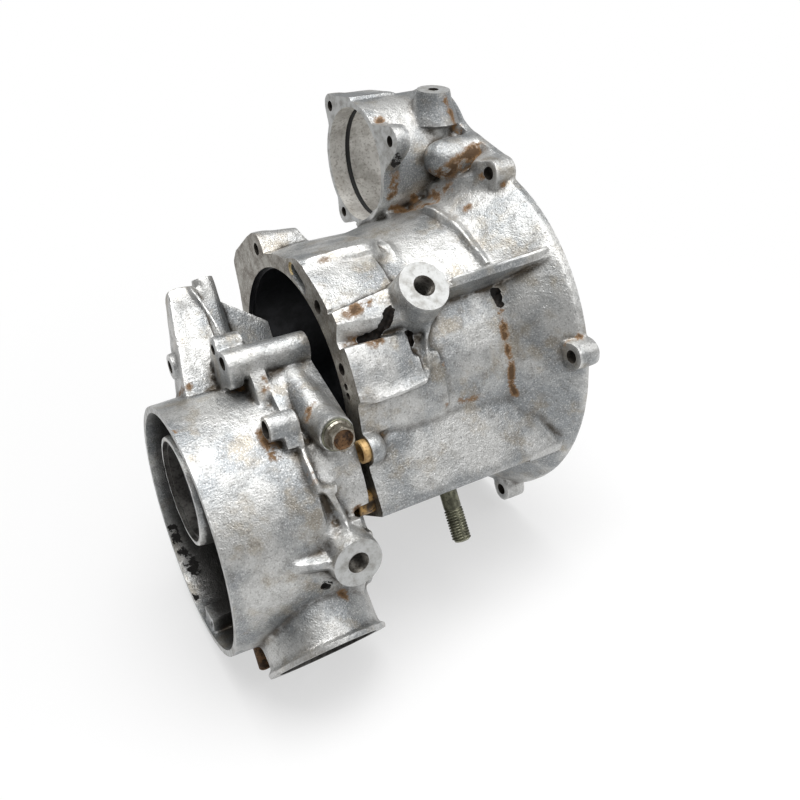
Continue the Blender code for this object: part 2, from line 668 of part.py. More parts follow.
def breather_boss():
    """The boss on top of the starter housing: a flat face on a flared foot."""
    direction = facing(BREATHER_ANGLE)
    side = facing(BREATHER_ANGLE + 90.0)
    face = at(BREATHER_X, STARTER_AT) + direction * BREATHER_OUT + side * BREATHER_SIDE
    return [
        rod(face - direction * 0.0090, face, BREATHER_RADIUS + 0.0020, BREATHER_RADIUS, ROUND_SIDES),
        rod(face - direction * 0.0200, face - direction * 0.0088, 0.0185, 0.0133, ROUND_SIDES),
        rod(face - direction * 0.0380, face - direction * 0.0180, 0.0150, 0.0150, ROUND_SIDES)]


def hole(place, direction, radius, deep, chamfer=0.0, sides=HOLE_SIDES):
    """A drill for one blind hole that starts just above a face, with an optional countersink."""
    over = 0.002
    mouth = radius + chamfer
    profile = [(0.0, deep), (radius, deep), (radius, chamfer), (mouth, 0.0), (mouth, -over), (0.0, -over)]
    if not chamfer:
        profile = profile[:2] + profile[4:]
    return [turned(profile, place, direction, sides)]


def machined_off():
    """What the mill takes off: the main face, the base face, the bell face and the starter's face."""
    return [
        hull(box_points((-0.020, -0.100, BASE_FACE), (NECK_END - 0.002, 0.100, BASE_FACE + 0.020))),
        hull(box_points((-TRIM - 0.020, -0.200, -0.200), (0.0, 0.200, 0.200))),
        hull(box_points((RIM_FACE, -0.200, -0.220), (RIM_FACE + 0.020, 0.200, 0.200))),
        hull(box_points((STARTER_FACE - 0.020, -0.060, -0.220), (STARTER_FACE, 0.120, -0.0985)))]


def box_points(low, high):
    """The eight corners of a box."""
    return [Vector((x, y, z)) for x in (low[0], high[0]) for y in (low[1], high[1])
            for z in (low[2], high[2])]


def main_case():
    """The large casting."""
    solids = main_barrel() + [main_flange()] + main_flange_ears() + side_block() + side_boss()
    solids += bell() + starter_housing() + starter_corner() + breather_boss()
    cavities = [
        rings([(-0.001, *BORE_AT, BORE_RADIUS), (BORE_DEPTH, *BORE_AT, BORE_RADIUS)]),
        rings([(-0.001, *BORE_AT, BORE_RADIUS + BORE_STEP_WIDE),
               (BORE_STEP_DEEP, *BORE_AT, BORE_RADIUS + BORE_STEP_WIDE)]),
        rings([
            bell_outline(BELL_ROOT_RADIUS - 0.014, NECK_END),
            bell_outline(BELL_CONE_RADIUS - BELL_WALL, BELL_CONE_END),
            bell_outline(RIM_RADIUS - BELL_WALL, RIM_FACE + 0.001)]),
        rings([(STARTER_FACE - 0.001, *STARTER_AT, STARTER_BORE_RADIUS),
               (RIM_FACE + 0.001, *STARTER_AT, STARTER_BORE_RADIUS)], FINE_SIDES),
        rings([(STARTER_GROOVE_AT, *STARTER_AT, STARTER_BORE_RADIUS + STARTER_GROOVE_DEEP),
               (STARTER_GROOVE_AT + STARTER_GROOVE_WIDE, *STARTER_AT,
                STARTER_BORE_RADIUS + STARTER_GROOVE_DEEP)], FINE_SIDES),
        rings([(BORE_DEPTH - 0.002, 0.0, 0.0, WEB_BORE_RADIUS),
               (NECK_END + 0.002, 0.0, 0.0, WEB_BORE_RADIUS)], FINE_SIDES),
        prism(rounded([
            (BASE_OPENING_HALF, 0.0, 0.0), (BASE_OPENING_HALF, BASE_FACE + 0.002, 0.0),
            (-BASE_OPENING_HALF, BASE_FACE + 0.002, 0.0), (-BASE_OPENING_HALF, 0.0, 0.0)]),
            BASE_OPENING_START, BASE_OPENING_END)]
    inward = (1, 0, 0)
    holes = hole(at(0.0, TOP_HOLE), inward, FLANGE_HOLE_RADIUS, FLANGE_HOLE_DEEP)
    holes += hole(at(0.0, THIRD_HOLE), inward, FLANGE_HOLE_RADIUS, FLANGE_HOLE_DEEP)
    holes += hole(at(0.0, FOURTH_HOLE), inward, FLANGE_HOLE_RADIUS * 0.9, FLANGE_HOLE_DEEP)
    for place in PIN_HOLES:
        holes += hole(at(0.0, place), inward, PIN_HOLE_RADIUS, 0.012, 0.0, SMALL_SIDES)
    slot = circle_points(at(-0.002, SLOT_START), inward, SLOT_RADIUS)
    slot += circle_points(at(-0.002, SLOT_END), inward, SLOT_RADIUS)
    slot += [point + Vector((FLANGE_HOLE_DEEP, 0.0, 0.0)) for point in slot]
    holes.append(hull(slot))
    for place in (UPPER_DOWEL_AT, LOWER_DOWEL_AT):
        holes += hole(at(0.0, place), inward, DOWEL_RADIUS + FIT, DOWEL_IN_CASE + FIT, 0.0, SMALL_SIDES)
    outward = (-1, 0, 0)
    for angle in LUG_ANGLES:
        holes += hole(at(RIM_FACE, polar(LUG_CIRCLE, angle, BELL_AT)), outward, LUG_HOLE_RADIUS,
                      RIM_FACE - LUG_BACK + 0.002)
    for y, z, radius in STARTER_EARS:
        holes += hole(at(STARTER_FACE, starter_place((y, z))), inward, EAR_HOLE_RADIUS, 0.024)
    side_out = facing(SIDE_BOSS_ANGLE)
    holes += hole(at(SIDE_BOSS_X, polar(SIDE_BOSS_REACH, SIDE_BOSS_ANGLE)), -side_out,
                  BOSS_HOLE_RADIUS, BOSS_HOLE_DEEP, BOSS_CHAMFER, SMALL_SIDES)
    top_out = facing(BREATHER_ANGLE)
    face = at(BREATHER_X, STARTER_AT) + top_out * BREATHER_OUT + facing(BREATHER_ANGLE + 90.0) * BREATHER_SIDE
    holes += hole(face, -top_out, BREATHER_HOLE_RADIUS, 0.020, 0.0, SMALL_SIDES)
    up = (0, 0, -1)
    for x in (BASE_OPENING_START - BASE_HOLE_INSET + 0.004, BASE_OPENING_END + BASE_HOLE_INSET):
        for side in (-1, 1):
            holes += hole((x, side * (BASE_OPENING_HALF + BASE_HOLE_INSET), BASE_FACE), up,
                          FLANGE_HOLE_RADIUS, FLANGE_HOLE_DEEP - 0.004)
    holes += hole((STUD_AT[0], STUD_AT[1], BASE_FACE), up, STUD_RADIUS + FIT, STUD_IN_CASE + FIT, 0.0, SMALL_SIDES)
    holes += hole((STUD_AT[0], -STUD_AT[1], BASE_FACE), up, STUD_RADIUS, STUD_IN_CASE, 0.0, SMALL_SIDES)
    return combine("main_case", "cast_aluminium",
                   [("UNION", solids), ("DIFFERENCE", machined_off()), ("DIFFERENCE", cavities),
                    ("DIFFERENCE", holes)])


def end_outline(near_side):
    """The outline of the neck behind the mating face: its near side as given, the rest mostly hidden."""
    return near_side + [
        (0.0660, 0.1000, 0.004), (0.0550, 0.1200, 0.006), (0.0400, 0.1320, 0.008),
        (0.0, 0.1410, 0.010), (-0.0400, 0.1320, 0.010), (-0.0660, 0.1050, 0.010),
        (-0.0770, 0.0800, 0.006), (-0.0740, 0.0500, 0.006), (-0.0700, 0.0280, 0.010),
        (-0.0520, 0.0030, 0.010), (-0.0400, -0.0140, 0.010), (-0.0300, -0.0260, 0.006),
        (0.0100, -0.0300, 0.006)]


def end_body():
    """The drum and the neck that joins it to the mating face."""
    step = DRUM_MOUTH + DRUM_BAND
    drum = rings([
        (DRUM_MOUTH, *DRUM_AT, DRUM_RADIUS),
        (step, *DRUM_AT, DRUM_RADIUS),
        (step + DRUM_BAND_STEP, *DRUM_AT, DRUM_RADIUS + DRUM_BAND_STEP),
        (DRUM_END, *DRUM_AT, DRUM_BACK_RADIUS)], BIG_SIDES)
    collar = sector(DRUM_AT, 0.050, DRUM_BACK_RADIUS, 12.0, 215.0, DRUM_END - 0.002, -0.014, 28)
    low_side = [
        (0.0500, -0.0300, 0.004), (0.0500, -0.0120, 0.003), (0.0560, -0.0030, 0.006),
        (0.0655, 0.0166, 0.006), (0.0715, 0.0300, 0.004), (0.0715, 0.0650, 0.002),
        (0.0700, 0.0820, 0.004)]
    high_side = [
        (0.0505, -0.0300, 0.004), (0.0505, -0.0130, 0.003), (0.0590, -0.0030, 0.006),
        (0.0735, 0.0160, 0.006), (0.0805, 0.0260, 0.006), (0.0805, 0.0460, 0.006),
        (0.0795, 0.0650, 0.004), (0.0770, 0.0760, 0.004), (0.0700, 0.0860, 0.004)]
    low_neck = prism(rounded(end_outline(low_side)), DRUM_END - 0.002, -0.012)
    high_neck = prism(rounded(end_outline(high_side)), NECK_SHOULDER, TRIM - JOINT_GAP)
    return [drum, collar, low_neck, high_neck]


def drum_arm(radius, angle, x):
    """A point on a circle about the drum's middle."""
    return at(x, polar(radius, angle, DRUM_AT))


def end_ribs():
    """The thin rib round the drum's end, the ridge that runs on from it and the fins of the drum boss."""
    ring = sector(DRUM_AT, 0.076, RIB_RADIUS, -60.0, -3.4, RIB_X, RIB_X + RIB_WIDE, 18)
    foot = sector(DRUM_AT, 0.076, RIB_RADIUS - 0.0006, -5.4, -3.2, RIB_X + 0.001, NECK_SHOULDER, 2)
    ridge = []
    for x, angle in ((RIB_X + 0.0085, -2.0), (NECK_SHOULDER + 0.0010, 15.0)):
        for radius, half in ((RIB_RADIUS - 0.0092, 2.4), (RIB_RADIUS, 1.1)):
            ridge += [drum_arm(radius, angle - half, x), drum_arm(radius, angle + half, x)]
    low_fin = hull([
        Vector((-0.0700, 0.0760, 0.0935)), Vector((-0.0680, 0.0700, 0.1010)),
        Vector((-0.0390, 0.0860, 0.1010)), Vector((-0.0390, 0.0850, 0.1045)),
        Vector((-0.0390, 0.0700, 0.0900)), Vector((-0.0390, 0.0650, 0.1090))])
    high_fin = hull([
        Vector((-0.0420, 0.0790, 0.0830)), Vector((-0.0450, 0.0760, 0.0860)),
        Vector((-0.0280, 0.0840, 0.0920)), Vector((-0.0330, 0.0820, 0.0960)),
        Vector((-0.0250, 0.0700, 0.0930)), Vector((-0.0400, 0.0650, 0.0920))])
    return [ring, foot, hull(ridge), low_fin, high_fin]


def tube(place, radius, start, end, sides=ROUND_SIDES):
    """A round tube boss along X."""
    return rod(at(start, place), at(end, place), radius, None, sides)


def end_tubes():
    """The tube bosses along the crank axis."""
    upper = tube(UPPER_TUBE_AT, UPPER_TUBE_RADIUS, UPPER_TUBE_START, TRIM - JOINT_GAP)
    upper_face = hull(
        circle_points(at(UPPER_TUBE_START, UPPER_TUBE_AT), (1, 0, 0), UPPER_TUBE_RADIUS)
        + circle_points(at(UPPER_TUBE_START, (0.0475, -0.0150)), (1, 0, 0), 0.0075)
        + circle_points(at(-0.0480, (0.0470, -0.0200)), (1, 0, 0), 0.0085)
        + circle_points(at(-0.0480, (0.0450, -0.0150)), (1, 0, 0), 0.0070))
    web = hull(box_points((-0.0450, 0.030, -0.022), (-0.0350, 0.0555, 0.012)))
    small = tube(SMALL_TUBE_AT, SMALL_TUBE_RADIUS, UPPER_TUBE_START - 0.001, UPPER_TUBE_START + 0.016)
    small_web = hull(box_points((-0.0570, 0.020, -0.036), (-0.0380, 0.042, -0.010)))
    side = hull(
        circle_points(at(SIDE_TUBE_START, SIDE_TUBE_AT), (1, 0, 0), SIDE_TUBE_RADIUS)
        + circle_points(at(SIDE_TUBE_END - 0.002, SIDE_TUBE_AT), (1, 0, 0), SIDE_TUBE_RADIUS)
        + circle_points(at(SIDE_TUBE_END, SIDE_TUBE_AT), (1, 0, 0), SIDE_TUBE_RADIUS - 0.0022))
    side_web = hull(box_points((-0.0445, 0.060, 0.0175), (SIDE_TUBE_END - 0.0006, 0.0815, 0.0340)))
    low_ear = turned(dome_profile(0.0085, 0.0140 + TRIM), at(TRIM - JOINT_GAP, (0.0700, 0.0700)),
                     (-1, 0, 0), SMALL_SIDES)
    return [upper, upper_face, web, small, small_web, side, side_web, low_ear]


def end_column():
    """The tall column above the drum: a tapered half with a channel, a round half and the web beside it."""
    foot = [Vector((x, y, COLUMN_FOOT)) for x in (-0.0775, -0.0480) for y in (-0.0140, 0.0220)]
    tops = [Vector((x, y, COLUMN_TOP)) for x in (-0.0660, -0.0480) for y in (-0.0060, 0.0080)]
    tapered = eased(hull(foot + tops), 0.003, 2)
    round_half = rod((-0.0400, -0.0040, COLUMN_TOP - 0.004), (-0.0400, -0.0040, COLUMN_FOOT), 0.0072, 0.0082, SMALL_SIDES)
    between = hull(
        [Vector((x, y, COLUMN_TOP + 0.002)) for x in (-0.0520, -0.0400) for y in (-0.0060, 0.0020)]
        + [Vector((x, y, COLUMN_FOOT)) for x in (-0.0520, -0.0400) for y in (-0.0060, 0.0060)])
    web = plate([
        (-0.0420, COLUMN_TOP + 0.006), (-0.0330, -0.0680), (-0.0140, -0.0545), (-0.0020, -0.0440),
        (-0.0020, -0.0060), (-0.0420, -0.0060)],
        Vector((0.0, -0.0090, 0.0)), Vector((1.0, 0.0, 0.0)), Vector((0.0, 0.0, 1.0)), 0.0060)
    lug = rod(BACK_LUG_AT, Vector(BACK_LUG_AT) + Vector((0.010, 0.0, 0.0)), 0.0085, 0.0085, SMALL_SIDES)
    return [tapered, round_half, between, web, lug]


def end_bosses():
    """The threaded bosses on both sides, the bolt boss and the port."""
    out = facing(DRUM_BOSS_ANGLE)
    face = at(DRUM_BOSS_X, DRUM_BOSS_AT)
    boss = rod(face - out * 0.034, face, BOSS_RADIUS + BOSS_DRAFT, BOSS_RADIUS)
    far_out = facing(FAR_BOSS_ANGLE)
    far_face = at(DRUM_BOSS_X, FAR_BOSS_AT)
    far_boss = rod(far_face - far_out * 0.034, far_face, BOSS_RADIUS + BOSS_DRAFT, BOSS_RADIUS)
    bolt_out = facing(BOLT_ANGLE)
    seat = at(BOLT_X, BOLT_SEAT_AT)
    bolt_boss = rod(seat - bolt_out * 0.050, seat, BOLT_BOSS_RADIUS + 0.0030, BOLT_BOSS_RADIUS)
    gallery = rod((-0.0180, 0.0430, -0.0060), (-0.0165, 0.0720, 0.0270), 0.0110, 0.0125)
    port_out = facing(PORT_ANGLE)
    middle = at(PORT_X, DRUM_AT)
    port = rod(middle + port_out * 0.050, middle + port_out * (PORT_REACH - 0.001),
               PORT_RADIUS + 0.0020, PORT_RADIUS, FINE_SIDES)
    bead = turned([
        (0.0, 0.0), (PORT_RADIUS - 0.0020, 0.0), (PORT_BEAD_RADIUS, 0.0012),
        (PORT_BEAD_RADIUS, PORT_BEAD_WIDE - PORT_BEAD_EDGE),
        (PORT_BEAD_RADIUS - PORT_BEAD_EDGE, PORT_BEAD_WIDE),
        (0.0, PORT_BEAD_WIDE)], middle + port_out * (PORT_REACH - PORT_BEAD_WIDE), port_out, FINE_SIDES)
    return [boss, far_boss, bolt_boss, gallery, port, bead]


def hub():
    """The hub on the drum's floor, with the small bosses cast beside it."""
    body = rings([
        (POCKET_FLOOR - 0.003, *HUB_AT, HUB_ROOT_RADIUS),
        (DRUM_FLOOR - 0.004, *HUB_AT, HUB_ROOT_RADIUS - 0.001),
        (DRUM_FLOOR - 0.016, *HUB_AT, HUB_RADIUS + 0.0025),
        (HUB_FACE + 0.001, *HUB_AT, HUB_RADIUS),
        (HUB_FACE, *HUB_AT, HUB_RADIUS - 0.001)], FINE_SIDES)
    far = polar(DRUM_BORE_RADIUS - 0.010, 116.0, DRUM_AT)
    root = DRUM_FLOOR + 0.002
    block = plate([(-0.095, -0.014), (-0.095, 0.001), (root, 0.004), (root, -0.014)],
                  at(0.0, far), Vector((1.0, 0.0, 0.0)), -facing(116.0), 0.017)
    knob = turned(dome_profile(0.0085, 0.032), at(root, polar(0.066, 84.0, DRUM_AT)), (-1, 0, 0), SMALL_SIDES)
    ribs = []
    for angle in (30.0, 150.0, 200.0, 250.0, 320.0):
        ribs.append(plate([
            (root, 0.030), (root, 0.060), (DRUM_FLOOR - 0.012, 0.0585),
            (HUB_FACE + 0.018, 0.0360), (HUB_FACE + 0.018, 0.030)],
            at(0.0, HUB_AT), Vector((1.0, 0.0, 0.0)), facing(angle), 0.005))
    return [body, block, knob] + ribs


def end_housing():
    """The smaller casting."""
    outside = end_body() + end_ribs() + end_tubes() + end_column() + end_bosses()
    port_out = facing(PORT_ANGLE)
    middle = at(PORT_X, DRUM_AT)
    inner = [
        hull(box_points((-JOINT_GAP, -0.120, -0.120), (0.030, 0.120, 0.145))),
        rings([(DRUM_MOUTH - 0.001, *DRUM_AT, DRUM_BORE_RADIUS),
               (DRUM_FLOOR, *DRUM_AT, DRUM_BORE_RADIUS - 0.0008)], BIG_SIDES),
        rod(middle + port_out * 0.072, middle + port_out * (PORT_REACH + 0.002), PORT_BORE_RADIUS, None, FINE_SIDES),
        prism(rounded([
            (0.0400, -0.0040, 0.006), (0.0540, 0.0240, 0.006), (0.0560, 0.0640, 0.006),
            (0.0520, 0.0900, 0.006), (0.0360, 0.1180, 0.010), (0.0, 0.1300, 0.010),
            (-0.0360, 0.1200, 0.010), (-0.0560, 0.0960, 0.008), (-0.0620, 0.0600, 0.008),
            (-0.0500, 0.0200, 0.010), (-0.0340, -0.0040, 0.008)]), POCKET_FLOOR, 0.0)]
    seat = SEAL_FACE + SEAL_WIDE + FIT
    bearing_end = BEARING_FACE + BEARING_WIDE
    bores = [
        rings([(HUB_FACE - 0.001, *HUB_AT, HUB_LEDGE_RADIUS),
               (HUB_FACE + HUB_LEDGE_DEEP, *HUB_AT, HUB_LEDGE_RADIUS)], FINE_SIDES),
        rings([(HUB_FACE - 0.001, *HUB_AT, SEAL_RADIUS + FIT), (seat, *HUB_AT, SEAL_RADIUS + FIT)], FINE_SIDES),
        rings([(seat - 0.002, *HUB_AT, SHAFT_RADIUS), (BEARING_FACE + 0.002, *HUB_AT, SHAFT_RADIUS)], FINE_SIDES),
        rings([(BEARING_FACE - FIT, *HUB_AT, BEARING_RADIUS + FIT),
               (POCKET_FLOOR + 0.001, *HUB_AT, BEARING_RADIUS + FIT)], FINE_SIDES),
        rings([(bearing_end + FIT, *HUB_AT, BEARING_RADIUS + SNAP_RING_DEEP + FIT),
               (bearing_end + SNAP_RING_WIDE + 3.0 * FIT, *HUB_AT, BEARING_RADIUS + SNAP_RING_DEEP + FIT)],
              FINE_SIDES)]
    holes = []
    for place, angle in ((DRUM_BOSS_AT, DRUM_BOSS_ANGLE), (FAR_BOSS_AT, FAR_BOSS_ANGLE)):
        holes += hole(at(DRUM_BOSS_X, place), -facing(angle), BOSS_HOLE_RADIUS,
                      BOSS_HOLE_DEEP - 0.008, BOSS_CHAMFER, SMALL_SIDES)
    holes += hole(at(BOLT_X, BOLT_SEAT_AT), -facing(BOLT_ANGLE), BOLT_RADIUS + FIT, BOLT_LONG + FIT, 0.0, SMALL_SIDES)
    inward = (1, 0, 0)
    holes += hole(at(UPPER_TUBE_START, (0.0485, -0.0240)), inward, TUBE_HOLE_RADIUS, 0.030)
    holes += hole(at(UPPER_TUBE_START - 0.001, SMALL_TUBE_AT), inward, 0.0032, 0.016)
    holes += hole(at(SIDE_TUBE_START, SIDE_TUBE_AT), inward, 0.0053, 0.016)
    holes += hole(BACK_LUG_AT, inward, TUBE_HOLE_RADIUS, 0.016)
    holes += hole(at(-JOINT_GAP, LOWER_DOWEL_AT), (-1, 0, 0), DOWEL_RADIUS + FIT, DOWEL_IN_HOUSING + FIT,
                  0.0, SMALL_SIDES)
    holes.append(rod((PLUG_AT[0], PLUG_AT[1], 0.1400), (PLUG_AT[0], PLUG_AT[1], PLUG_TIP),
                     PLUG_RADIUS + FIT, None, SMALL_SIDES))
    holes.append(eased(hull(box_points((-0.0150, 0.0600, 0.0790), (0.002, 0.0800, 0.0960))), 0.003, 2))
    channel = hull([
        Vector((-0.0690, 0.0160, -0.0200)), Vector((-0.0560, 0.0160, -0.0200)),
        Vector((-0.0690, 0.0300, -0.0200)), Vector((-0.0560, 0.0300, -0.0200)),
        Vector((-0.0620, 0.0040, -0.0700)), Vector((-0.0555, 0.0040, -0.0700)),
        Vector((-0.0620, 0.0200, -0.0700)), Vector((-0.0555, 0.0200, -0.0700))])
    holes.append(eased(channel, 0.002, 2))
    return combine("end_housing", "cast_aluminium",
                   [("UNION", outside), ("DIFFERENCE", inner), ("UNION", hub()),
                    ("DIFFERENCE", bores), ("DIFFERENCE", holes)])


def dowel(name, place, start):
    """One hollow dowel between the castings."""
    end = DOWEL_IN_CASE
    bore = DOWEL_RADIUS - DOWEL_WALL
    ease = 0.0005
    solid = turned([
        (bore, 0.0), (DOWEL_RADIUS - ease, 0.0), (DOWEL_RADIUS, ease), (DOWEL_RADIUS, end - start - ease),
        (DOWEL_RADIUS - ease, end - start), (bore, end - start)], at(start, place), (1, 0, 0), ROUND_SIDES)
    return finish_piece(name, "yellow_brass", solid)


def thread_profile(start, end, crest):
    """The half section of a thread cut on a rod, from root to crest and back once a pitch."""
    turns = int((end - start) / THREAD_PITCH)
    points = []
    for turn in range(turns):
        low = start + turn * THREAD_PITCH
        points.append((crest - THREAD_DEEP, low + THREAD_PITCH * 0.05))
        points.append((crest, low + THREAD_PITCH * 0.45))
        points.append((crest, low + THREAD_PITCH * 0.60))
    return points


def base_stud():
    """The stud in the base face: a plain shank with a thread at its tip."""
    bottom = BASE_FACE - STUD_IN_CASE
    shank = STUD_RADIUS - 0.0004
    profile = [(0.0, 0.0), (shank, 0.0), (shank, STUD_SHANK_END - bottom)]
    profile += thread_profile(STUD_SHANK_END - bottom, STUD_TIP - bottom - 0.0015, STUD_RADIUS)
    profile += [(STUD_RADIUS - 0.0012, STUD_TIP - bottom), (0.0, STUD_TIP - bottom)]
    return finish_piece("base_stud", "zinc_steel",
                        turned(profile, (STUD_AT[0], STUD_AT[1], bottom), (0, 0, 1), SMALL_SIDES))


def flange_bolt():
    """The hexagon bolt with its dished head, and the washer under it."""
    out = facing(BOLT_ANGLE)
    seat = at(BOLT_X, BOLT_SEAT_AT)
    head = seat + out * (WASHER_THICK + 2.0 * FIT)
    shank = rod(seat - out * BOLT_LONG, head + out * 0.001, BOLT_RADIUS, None, SMALL_SIDES)
    hexagon = rod(head, head + out * BOLT_HEAD_TALL, BOLT_HEAD_RADIUS, None, 6)
    collar = rod(head, head + out * 0.0014, BOLT_HEAD_RADIUS + 0.0012, BOLT_HEAD_RADIUS + 0.0004, ROUND_SIDES)
    dish = rod(head + out * (BOLT_HEAD_TALL - BOLT_DISH), head + out * (BOLT_HEAD_TALL + 0.001),
               BOLT_HEAD_RADIUS * 0.62, BOLT_HEAD_RADIUS * 0.84, ROUND_SIDES)
    round_off = turned([
        (BOLT_HEAD_RADIUS * 0.92, 0.0), (BOLT_HEAD_RADIUS * 1.3, -0.0026), (BOLT_HEAD_RADIUS * 1.3, 0.001),
        (BOLT_HEAD_RADIUS * 0.92, 0.001)], head + out * BOLT_HEAD_TALL, out, ROUND_SIDES)
    bolt = combine("flange_bolt", "black_steel",
                   [("UNION", [hexagon, shank, collar]), ("DIFFERENCE", [dish, round_off])])
    washer = turned([
        (BOLT_RADIUS + FIT, 0.0), (WASHER_RADIUS, 0.0), (WASHER_RADIUS, WASHER_THICK),
        (BOLT_RADIUS + FIT, WASHER_THICK)], seat + out * FIT, out, ROUND_SIDES)
    return [bolt, finish_piece("sealing_washer", "zinc_steel", washer)]


def drain_plug():
    """The dark stub below the drum."""
    return finish_piece("drain_plug", "black_steel", turned([
        (0.0, 0.0), (PLUG_RADIUS, 0.0), (PLUG_RADIUS, PLUG_TIP - PLUG_TOP - 0.001),
        (PLUG_RADIUS - 0.001, PLUG_TIP - PLUG_TOP), (0.0, PLUG_TIP - PLUG_TOP)],
        (PLUG_AT[0], PLUG_AT[1], PLUG_TOP), (0, 0, 1), SMALL_SIDES))


def lip_seal(name, place, start, wide, outer, inner, toward):
    """A shaft seal: a U-shaped ring, open on one side, with its lip inside."""
    wall = 0.0022
    floor = 0.0024
    lip = inner + 0.0016
    return finish_piece(name, "black_rubber", turned([
        (inner + 0.0012, 0.0), (outer, 0.0), (outer, wide), (outer - wall, wide), (outer - wall, floor),
        (lip + 0.0024, floor), (lip + 0.0016, wide - 0.0040), (lip + 0.0028, wide - 0.0012),
        (lip + 0.0010, wide - 0.0008), (inner, wide - 0.0026)], at(start, place), (toward, 0, 0), RACE_SIDES))


def race_arc(middle, half_wide, steps=5):
    """The groove of a race as (radius change, height) steps, for balls with a fit all round."""
    reach = BALL_RADIUS + FIT
    spread = asin(half_wide / reach)
    turns = [spread * (2.0 * step / steps - 1.0) for step in range(steps + 1)]
    return [(reach * cos(t), middle + reach * sin(t)) for t in turns]


def bearing():
    """The ball bearing in the hub, its snap ring included."""
    middle = BEARING_WIDE / 2.0
    half = BALL_RADIUS * 0.80
    ease = 0.0006
    start = at(BEARING_FACE, HUB_AT)
    groove = race_arc(middle, half)
    inner_shoulder = BALL_CIRCLE - groove[0][0]
    outer_shoulder = BALL_CIRCLE + groove[0][0]
    outer = [(outer_shoulder, 0.0), (BEARING_RADIUS - ease, 0.0), (BEARING_RADIUS, ease),
             (BEARING_RADIUS, BEARING_WIDE - ease), (BEARING_RADIUS - ease, BEARING_WIDE),
             (outer_shoulder, BEARING_WIDE)]
    outer += [(BALL_CIRCLE + out, height) for out, height in reversed(groove)]
    inner = [(BEARING_INNER_RADIUS, 0.0), (inner_shoulder, 0.0)]
    inner += [(BALL_CIRCLE - out, height) for out, height in groove]
    inner += [(inner_shoulder, BEARING_WIDE), (BEARING_INNER_RADIUS, BEARING_WIDE)]
    made = [
        finish_piece("bearing_outer_ring", "bearing_steel", turned(outer, start, (1, 0, 0), RACE_SIDES)),
        finish_piece("bearing_inner_ring", "bearing_steel", turned(inner, start, (1, 0, 0), RACE_SIDES))]
    centres = [at(BEARING_FACE + middle, polar(BALL_CIRCLE, 360.0 * n / BALL_COUNT, HUB_AT))
               for n in range(BALL_COUNT)]
    for number, centre in enumerate(centres, 1):
        made.append(finish_piece("bearing_ball_%d" % number, "bearing_steel", ball(centre, BALL_RADIUS)))
    cage = turned([
        (BALL_CIRCLE - CAGE_THICK / 2.0, middle - CAGE_WIDE / 2.0),
        (BALL_CIRCLE + CAGE_THICK / 2.0, middle - CAGE_WIDE / 2.0),
        (BALL_CIRCLE + CAGE_THICK / 2.0, middle + CAGE_WIDE / 2.0),
        (BALL_CIRCLE - CAGE_THICK / 2.0, middle + CAGE_WIDE / 2.0)], start, (1, 0, 0), RACE_SIDES)
    pockets = [ball(centre, BALL_RADIUS + FIT) for centre in centres]
    made.append(combine("bearing_cage", "bearing_steel", [("UNION", [cage]), ("DIFFERENCE", pockets)]))
    ring_start = at(BEARING_FACE + BEARING_WIDE + 2.0 * FIT, HUB_AT)
    ring_outer = BEARING_RADIUS + SNAP_RING_DEEP
    made.append(finish_piece("bearing_snap_ring", "black_steel", turned([
        (ring_outer - SNAP_RING_BAND, 0.0), (ring_outer, 0.0), (ring_outer, SNAP_RING_WIDE),
        (ring_outer - SNAP_RING_BAND, SNAP_RING_WIDE)], ring_start, (1, 0, 0), RACE_SIDES)))
    return made


def ball(centre, radius):
    """A ball."""
    bm = bmesh.new()
    bmesh.ops.create_uvsphere(bm, u_segments=BALL_SIDES, v_segments=BALL_SIDES // 2, radius=radius,
                              matrix=Matrix.Translation(centre))
    return new_object("ball", bm)


def starter_bore_seal():
    """The black ring in the groove of the starter bore."""
    outer = STARTER_BORE_RADIUS + STARTER_GROOVE_DEEP - FIT
    wide = STARTER_GROOVE_WIDE - 2.0 * FIT
    inner = STARTER_BORE_RADIUS - 0.0008
    return finish_piece("starter_bore_seal", "black_rubber", turned([
        (outer, 0.0), (outer, wide), (inner + 0.0008, wide), (inner, wide * 0.7), (inner, wide * 0.3),
        (inner + 0.0008, 0.0)], at(STARTER_GROOVE_AT + FIT, STARTER_AT), (1, 0, 0), FINE_SIDES))


def small_pieces():
    """Every piece that isn't a casting."""
    made = [
        dowel("upper_dowel", UPPER_DOWEL_AT, FIT - JOINT_GAP),
        dowel("lower_dowel", LOWER_DOWEL_AT, -JOINT_GAP - DOWEL_IN_HOUSING),
        base_stud(), drain_plug(), starter_bore_seal(),
        lip_seal("shaft_seal", HUB_AT, SEAL_FACE, SEAL_WIDE, SEAL_RADIUS, SEAL_INNER_RADIUS, 1),
        lip_seal("rear_seal", (0.0, 0.0), NECK_END - 0.001, REAR_SEAL_WIDE, WEB_BORE_RADIUS - FIT,
                 REAR_SEAL_INNER_RADIUS, -1)]
    return made + flange_bolt() + bearing()


def clear_scene():
    """Start from an empty scene."""
    for old in list(bpy.data.objects):
        bpy.data.objects.remove(old)


def resting_discs():
    """The three round faces that the castings lie on, each as (centre, axis, radius)."""
    port_out = facing(PORT_ANGLE)
    return [
        (at(RIM_FACE, polar(LUG_CIRCLE, LUG_ANGLES[RESTING_LUG], BELL_AT)), Vector((1, 0, 0)), LUG_RADIUS),
        (at(PORT_X, DRUM_AT) + port_out * (PORT_REACH - PORT_BEAD_EDGE), port_out, PORT_BEAD_RADIUS),
        (at(DRUM_BOSS_X, FAR_BOSS_AT), facing(FAR_BOSS_ANGLE), BOSS_RADIUS)]


